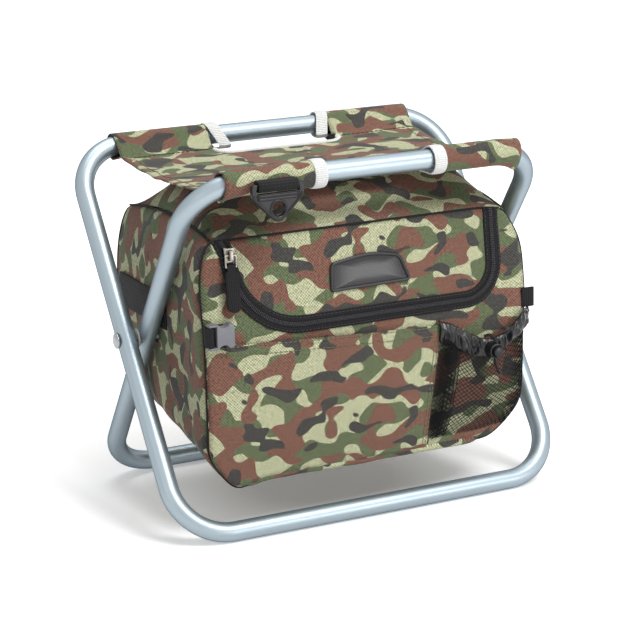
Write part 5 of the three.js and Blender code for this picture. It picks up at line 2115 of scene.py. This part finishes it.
@dataclass
class Pockets:
    """Slip pocket, net pocket, its gathered hem, drawcord and cord lock."""

    form: BagForm
    rows: RowTree
    nets: NetTree
    top_left: float = 158.5 * MM
    top_right: float = 148.7 * MM
    bottom: float = 45 * MM
    left: float = -139.5 * MM
    right_top: float = 64 * MM
    right_bottom: float = 51 * MM
    corner: float = 34 * MM
    slack: float = 4 * MM
    net_left: Pair = (49.5 * MM, 62 * MM)
    net_right: float = 140 * MM
    net_bulge: float = 8 * MM
    net_bottom: float = 53 * MM
    mesh: float = 4.2 * MM
    yarn: float = 0.28 * MM
    net_layers: tuple[tuple[float, float, int], ...] = (
        (0, 1, 0),
        (0, 0.22, 1),
        (0, 0.19, 2),
        (0, 0.15, 3),
        (0, 0.11, 4),
        (0.86, 1, 1),
        (0.92, 1, 2),
    )
    net_tall: float = 84 * MM
    net_wide: float = 80 * MM
    net_rise: float = 80 * MM
    hem_x: Numbers = (61 * MM, 76 * MM, 86 * MM, 102 * MM, 115 * MM, 129 * MM, 142.5 * MM)
    hem_top: Numbers = (153 * MM, 147 * MM, 139 * MM, 132.5 * MM, 133 * MM, 141 * MM, 155 * MM)
    hem_low: Numbers = (136 * MM, 128 * MM, 120 * MM, 117.5 * MM, 119.5 * MM, 126 * MM, 139 * MM)
    hem_ease: float = 6 * MM
    hem_cut: float = 20 * MM
    hem_fray: float = 0.9 * MM
    hem_relief: tuple[float, float, float, float] = (2.6 * MM, 1.6 * MM, 1.8 * MM, 0.7 * MM)
    fabric: float = 1.2 * MM
    lock: Triple = (105.5 * MM, -105.4 * MM, 124.5 * MM)
    # Radii of the lock and their distances along it, in millimetres.
    barrel: Numbers = (0, 5.2, 6.3, 6.5, 6.5, 6.1, 5.2, 4.7, 4.7, 0)
    barrel_at: Numbers = (0, 0, 0.7, 1.6, 9.4, 10.3, 10.5, 10.2, 6.9, 6.9)
    button: Numbers = (0, 4.4, 4.4, 4.0, 3.0, 0)
    button_at: Numbers = (9.8, 9.8, 12.9, 13.8, 14.2, 14.3)
    cord: float = 2.2 * MM
    # Places along the drawcord, in millimetres.
    cord_x: Numbers = (98.5, 102, 105.5, 105.5, 105.5, 108, 111)
    cord_y: Numbers = (-107.2, -110.2, -112, -112, -112, -111.2, -110)
    cord_z: Numbers = (136.5, 138, 134.5, 124.5, 114.5, 109, 104)

    def build(self) -> None:
        """Builds both pockets and the cord lock."""
        self.slip()
        self.slip_stitches()
        self.net()
        self.hem()
        self.cord_lock()

    def low_edge(self, z: Array, side: float) -> Array:
        """Distance of a pocket's outer edge from the middle at a height, with its round lower corner."""
        under = np.clip(self.bottom + self.corner - z, 0, self.corner)
        return side - self.corner + np.sqrt(self.corner**2 - under**2)

    def tall(self, share: Array) -> Array:
        """Height of the slip pocket from its bottom to its slanting top edge."""
        return self.top_left + (self.top_right - self.top_left) * share - self.bottom

    def slip_points(self, share: Array, up: Array, lift: float = 0.0) -> Array:
        """Points on the slip pocket.

        Args:
            share: 0 at its left edge and 1 at its right edge.
            up: 0 at its bottom and 1 at its top edge.
            lift: Distance in front of its cloth.

        Returns:
            Positions, with three numbers each.
        """
        z = self.bottom + self.tall(share) * up
        first = -self.low_edge(z, -self.left)
        last = self.right_bottom + (self.right_top - self.right_bottom) * up
        x = first + (last - first) * share
        across = np.clip(np.sin(math.pi * share), 0, 1) ** 0.5
        out = 1.3 * MM + self.slack * across * (1 - (1 - np.clip(up, 0, 1)) ** 4) * (1 - 0.35 * up**3)
        out = out + 0.5 * MM * Folds(21, 55 * MM).at(x, z) * across
        return forward(self.form.face(x, z), out + lift)

    def slip(self) -> None:
        """Builds the slip pocket with its folded top hem."""
        up, share = np.meshgrid(np.linspace(0.005, 1, 40), np.linspace(0, 1, 70), indexing="ij")
        points = self.slip_points(share, up)
        points[..., 1] -= 0.5 * MM * (up > 0.88)
        made = grid("slip_pocket", points, points[..., ::2] + PRINT_CUT["pocket"], None, INSIDE)
        settle(thicken(made, self.fabric), CAMO, Body.BAG, "front_pocket")

    def slip_stitches(self) -> None:
        """Sews the pocket's hem and its slanted edge."""
        share = np.linspace(0.02, 0.99, 90)
        drops = (1.5 * MM, 8.5 * MM)
        lines = [self.slip_points(share, 1 - drop / self.tall(share), 0.7 * MM) for drop in drops]
        up = np.linspace(0.06, 0.97, 50)
        lines += [self.slip_points(np.full(50, at), up, 0.3 * MM) for at in (0.975, 0.99)]
        paths = [(line, everywhere(FORWARD, line)) for line in lines]
        made = self.rows.run("pocket_stitches", paths, PALE_THREAD, POCKET_STITCH)
        settle(made, PALE_THREAD, Body.BAG)

    def hem_edge(self, x: Array, heights: Sequence[float]) -> Array:
        """Height of one edge of the gathered hem, eased between its knots."""
        return eased(x, self.hem_x, heights, self.hem_ease)

    def net_points(self, share: Array, up: Array) -> Array:
        """Points on the bulging net.

        Args:
            share: 0 at its left edge and 1 at its right edge.
            up: 0 at its bottom and 1 at its hem.

        Returns:
            Positions, with three numbers each.
        """
        first = self.net_left[0] + (self.net_left[1] - self.net_left[0]) * up
        last = self.low_edge(self.net_bottom + self.net_rise * up, self.net_right)
        x = first + (last - first) * share
        z = self.net_bottom + (self.hem_edge(x, self.hem_low) + 4 * MM - self.net_bottom) * up
        full = np.clip(np.sin(math.pi * share), 0, 1) ** 0.6 * (1 - share**6)
        out = 0.8 * MM + self.net_bulge * full * np.clip(1 - (1 - up) ** 3, 0, 1) * (1 - 0.25 * up**4)
        out = out + 0.8 * MM * np.sin(60 * share) * up**2
        return forward(self.form.face(x, z), out)

    def net(self) -> None:
        """Knits the net as a lattice of diamonds, with more layers in the pleats at its side edges."""
        points, edges, start = [], [], 0
        rows = int(2 * self.net_tall / self.mesh)
        for first, last, layer in self.net_layers:
            columns = max(2, int((last - first) * self.net_wide / self.mesh))
            row, column = np.meshgrid(np.arange(rows + 1), np.arange(columns + 1), indexing="ij")
            share = first + (last - first) * np.clip((column + 0.5 * (row % 2) + 0.3 * layer) / columns, 0, 1)
            spots = self.net_points(share, row / rows)
            spots[..., 1] -= 0.7 * MM * layer * np.clip(np.minimum(share, 1 - share) / 0.05, 0, 1)
            points.append(spots.reshape(-1, 3))
            number = start + np.arange(row.size).reshape(row.shape)
            start += row.size
            for r in range(rows):
                shift = 1 if r % 2 else -1
                for c in range(columns + 1):
                    edges.append((number[r, c], number[r + 1, c]))
                    if 0 <= c + shift <= columns:
                        edges.append((number[r, c], number[r + 1, c + shift]))
        made = self.nets.run("net_pouch", np.concatenate(points), edges, NET_YARN, self.yarn)
        settle(made, NET_YARN, Body.BAG, "net_pocket")

    def hem(self) -> None:
        """Builds the gathered hem as a crumpled band that hangs in a swag."""
        share, across = np.meshgrid(np.linspace(0, 1, 220), np.linspace(-1, 1, 29), indexing="ij")
        x = self.hem_x[0] + (self.hem_x[-1] - self.hem_x[0]) * share
        low = self.hem_edge(x, self.hem_low) + self.hem_fray * Folds(33, 13 * MM).at(x, 0 * x)
        high = self.hem_edge(x, self.hem_top) + self.hem_fray * Folds(34, 15 * MM).at(x, 0 * x)
        z = low + (high - low) * (across + 1) / 2
        soft = Folds(35, 9 * MM).at(x, 0.5 * z)
        crease = 1 - 2 * np.abs(Folds(36, 9 * MM).at(x, 0.35 * z))
        pucker = 1 - 2 * np.abs(Folds(37, 6 * MM).at(x, 0.3 * z))
        belly = np.clip(1 - across**2, 0, 1) ** 0.5
        deep = np.sin(math.pi * share) ** 0.6
        relief = sum(a * b for a, b in zip(self.hem_relief, (1, soft, crease, pucker)))
        out = 1.4 * MM + 0.75 * self.net_bulge * deep + belly * relief + 0.5 * MM * soft
        points = forward(self.form.face(x, z), out)
        made = grid("gathered_hem", points, joined(x * 1.8, z), None, INSIDE)
        settle(thicken(made, 1.0 * MM), GATHERED, Body.BAG, "net_pocket_hem")

    def cord_lock(self) -> None:
        """Builds the cord lock's barrel and button and the drawcord through them."""
        parts = (
            ("barrel", joined(self.barrel, self.barrel_at), Body.BAG),
            ("button", joined(self.button, self.button_at), Body.LOCK_BUTTON),
        )
        for word, profile, body in parts:
            made = turned(f"lock_{word}", profile * MM, FORWARD, self.lock)
            settle(made, RING_PLASTIC, body, f"cord_lock_{word}")
        route = joined(self.cord_x, self.cord_y, self.cord_z) * MM
        steps = np.linspace(0, len(route) - 1, 40)
        smooth = joined(*[np.interp(steps, np.arange(len(route)), column) for column in route.T])
        for _ in range(3):
            smooth[1:-1] = 0.25 * smooth[:-2] + 0.5 * smooth[1:-1] + 0.25 * smooth[2:]
        cord = tube("drawcord", smooth, self.cord / 2, 10)
        settle(cord, WEBBING, Body.BAG, "hem_drawcord")


# Corner webbing


@dataclass
class CornerWebbing:
    """Buckle half and webbing stub at the left corner, tab at the right one, and bands on the sides."""

    bag: CoolerBag
    band: float = 1.2 * MM
    band_y: Pair = (-22 * MM, 78 * MM)
    band_z: Pair = (156 * MM, 184 * MM)

    def build(self) -> None:
        """Builds the buckle and every piece of webbing."""
        # The buckle's grey colour is a painted reflection on black plastic.
        buckle = cad_copy("buckle_socket", "corner_buckle", 0.7 * MM)
        settle(buckle, BUCKLE_PAINTED_REFLECTION, Body.BUCKLE, "corner_buckle")
        for name, node in (("buckle_stub", "buckle_webbing"), ("corner_tab", "side_tab_right")):
            settle(box_map(cad_copy(name, node, 0.35 * MM, 2)), WEBBING, Body.BAG, node)
        y, z = np.meshgrid(np.linspace(*self.band_y, 40), np.linspace(*self.band_z, 12), indexing="ij")
        for word, side in SIDES:
            points = self.bag.side_points(side, y, z, self.band + 0.3 * MM)
            made = grid(f"{word}_band", points, joined(y, z), None, INSIDE)
            settle(thicken(made, self.band), WEBBING, Body.BAG, f"side_band_{word}")


# The studio


@dataclass
class Studio:
    """White floor with a painted shadow in its glow under the stool, soft light and the camera at the
    photograph's place.
    """

    focal_pixels: float = 2232.6
    image_pixels: float = 640.0
    azimuth: float = -26.36
    elevation: float = 14.54
    roll: float = -1.38
    distance: float = 1.86385
    aim: Triple = (0.003264, 0.0, 0.139224)
    floor_half: float = 12.0
    # The floor's camera-seen glow is dimmed near the stool, which paints a darker shadow under it; further
    # off it rises to white.
    painted_shadow_near: tuple[Pair, Pair] = ((0.06, 0.24), (0.12, 0.5))
    glow_far: tuple[Pair, Pair] = ((0.35, 1.2), (0.0, 0.35))
    room_light: Pair = (0.25, 1.0)

    def build(self) -> None:
        """Sets the camera, floor, lamps and world."""
        bpy.context.scene.view_settings.view_transform = "Standard"
        self.camera()
        self.floor()
        self.lamps()
        self.world()

    def camera(self) -> None:
        """Puts the camera where the photograph was taken from."""
        a, e, r = (math.radians(v) for v in (self.azimuth, self.elevation, self.roll))
        back = Vector((math.sin(a) * math.cos(e), -math.cos(a) * math.cos(e), math.sin(e)))
        right = Vector((math.cos(a), math.sin(a), 0))
        up = back.cross(right)
        turned_right = right * math.cos(r) + up * math.sin(r)
        turned_up = up * math.cos(r) - right * math.sin(r)
        spot = Vector(self.aim) + back * self.distance
        data = bpy.data.cameras.new("photo_camera")
        data.sensor_width = 36.0
        data.lens = self.focal_pixels / self.image_pixels * data.sensor_width
        data.clip_end = 60
        camera = linked("photo_camera", data)
        axes = Matrix((turned_right, turned_up, back)).transposed().to_4x4()
        camera.matrix_world = Matrix.Translation(spot) @ axes
        bpy.context.scene.camera = camera

    def seen(self, tree: Tree) -> Socket:
        """A socket that is 1 for rays that show the background.

        Args:
            tree: The tree that gets the nodes.

        Returns:
            The socket.
        """
        path = add_node(tree, "ShaderNodeLightPath").outputs
        first = calc(tree, "MAXIMUM", path["Is Camera Ray"], path["Is Glossy Ray"])
        return calc(tree, "MAXIMUM", first, path["Is Transmission Ray"])

    def floor(self) -> None:
        """Lays a pale floor that keeps the shadow; its camera-seen glow is weakest next to the stool, which
        paints a darker shadow under it.
        """
        half = self.floor_half
        corners = np.array([[-half, -half, 0], [half, -half, 0], [half, half, 0], [-half, half, 0]])
        made = mesh_object("floor", corners, [(0, 1, 2, 3)])
        material = bpy.data.materials.new("pale_floor")
        material.use_nodes = True
        tree = material.node_tree
        place = surface(tree)
        away = add_node(tree, "ShaderNodeVectorMath", {"operation": "LENGTH"}, {0: place}).outputs["Value"]
        # Painted shadow: the glow is weakest close to the stool.
        glow_with_painted_shadow = calc(tree, "ADD", ramp(tree, away, *self.painted_shadow_near), ramp(tree, away, *self.glow_far))
        pale = {
            "Base Color": (0.95, 0.95, 0.95, 1),
            "Roughness": 0.9,
            "Specular IOR Level": 0.0,
            "Emission Color": (1, 1, 1, 1),
        }
        shown = calc(tree, "MULTIPLY", glow_with_painted_shadow, self.seen(tree))
        wire(tree, tree.nodes["Principled BSDF"], pale, {"Emission Strength": shown})
        made.data.materials.append(material)

    def lamps(self) -> None:
        """Hangs the soft lamps."""
        lamps = (
            ("key", (0.6, -1.7, 2.5), 1.1, 52.0),
            ("fill", (-1.8, -0.9, 1.0), 1.0, 2.0),
            ("card", (1.0, -2.1, 0.4), 0.8, 10.0),
            ("top", (0.1, 0.4, 2.1), 1.2, 14.0),
        )
        for name, spot, size, power in lamps:
            data = bpy.data.lights.new(name, "AREA")
            data.shape = "SQUARE"
            data.size = size
            data.energy = power
            lamp = linked(name, data)
            lamp.location = spot
            lamp.rotation_mode = "QUATERNION"
            lamp.rotation_quaternion = (Vector((0, 0, 0.15)) - Vector(spot)).to_track_quat("-Z", "Y")

    def world(self) -> None:
        """Fills the room with soft light and shows it white."""
        world = bpy.data.worlds.new("studio")
        bpy.context.scene.world = world
        world.use_nodes = True
        tree = world.node_tree
        level = ramp(tree, self.seen(tree), (0, 1), self.room_light)
        wire(tree, tree.nodes["Background"], {"Color": (1, 1, 1, 1)}, {"Strength": level})


def main() -> None:
    """Builds the stool piece by piece, then the studio."""
    logging.basicConfig(level=logging.INFO, format="%(name)s: %(message)s")
    rows = RowTree()
    tubes = TubeFrame()
    seat = SlingSeat(tubes, rows)
    form = BagForm()
    doorway = Doorway()
    bag = CoolerBag(form, doorway)
    steps: tuple[tuple[str, Callable[[], None]], ...] = (
        ("tube frame", tubes.build),
        ("sling seat", seat.build),
        ("strap rings", StrapRings(seat).build),
        ("cooler bag", bag.build),
        ("flap door", FlapDoor(form, doorway, rows).build),
        ("pockets", Pockets(form, rows, NetTree()).build),
        ("corner webbing", CornerWebbing(bag).build),
        ("studio", Studio().build),
    )
    for name, build in steps:
        LOG.info("building the %s", name)
        build()


if __name__ == "__main__":
    main()
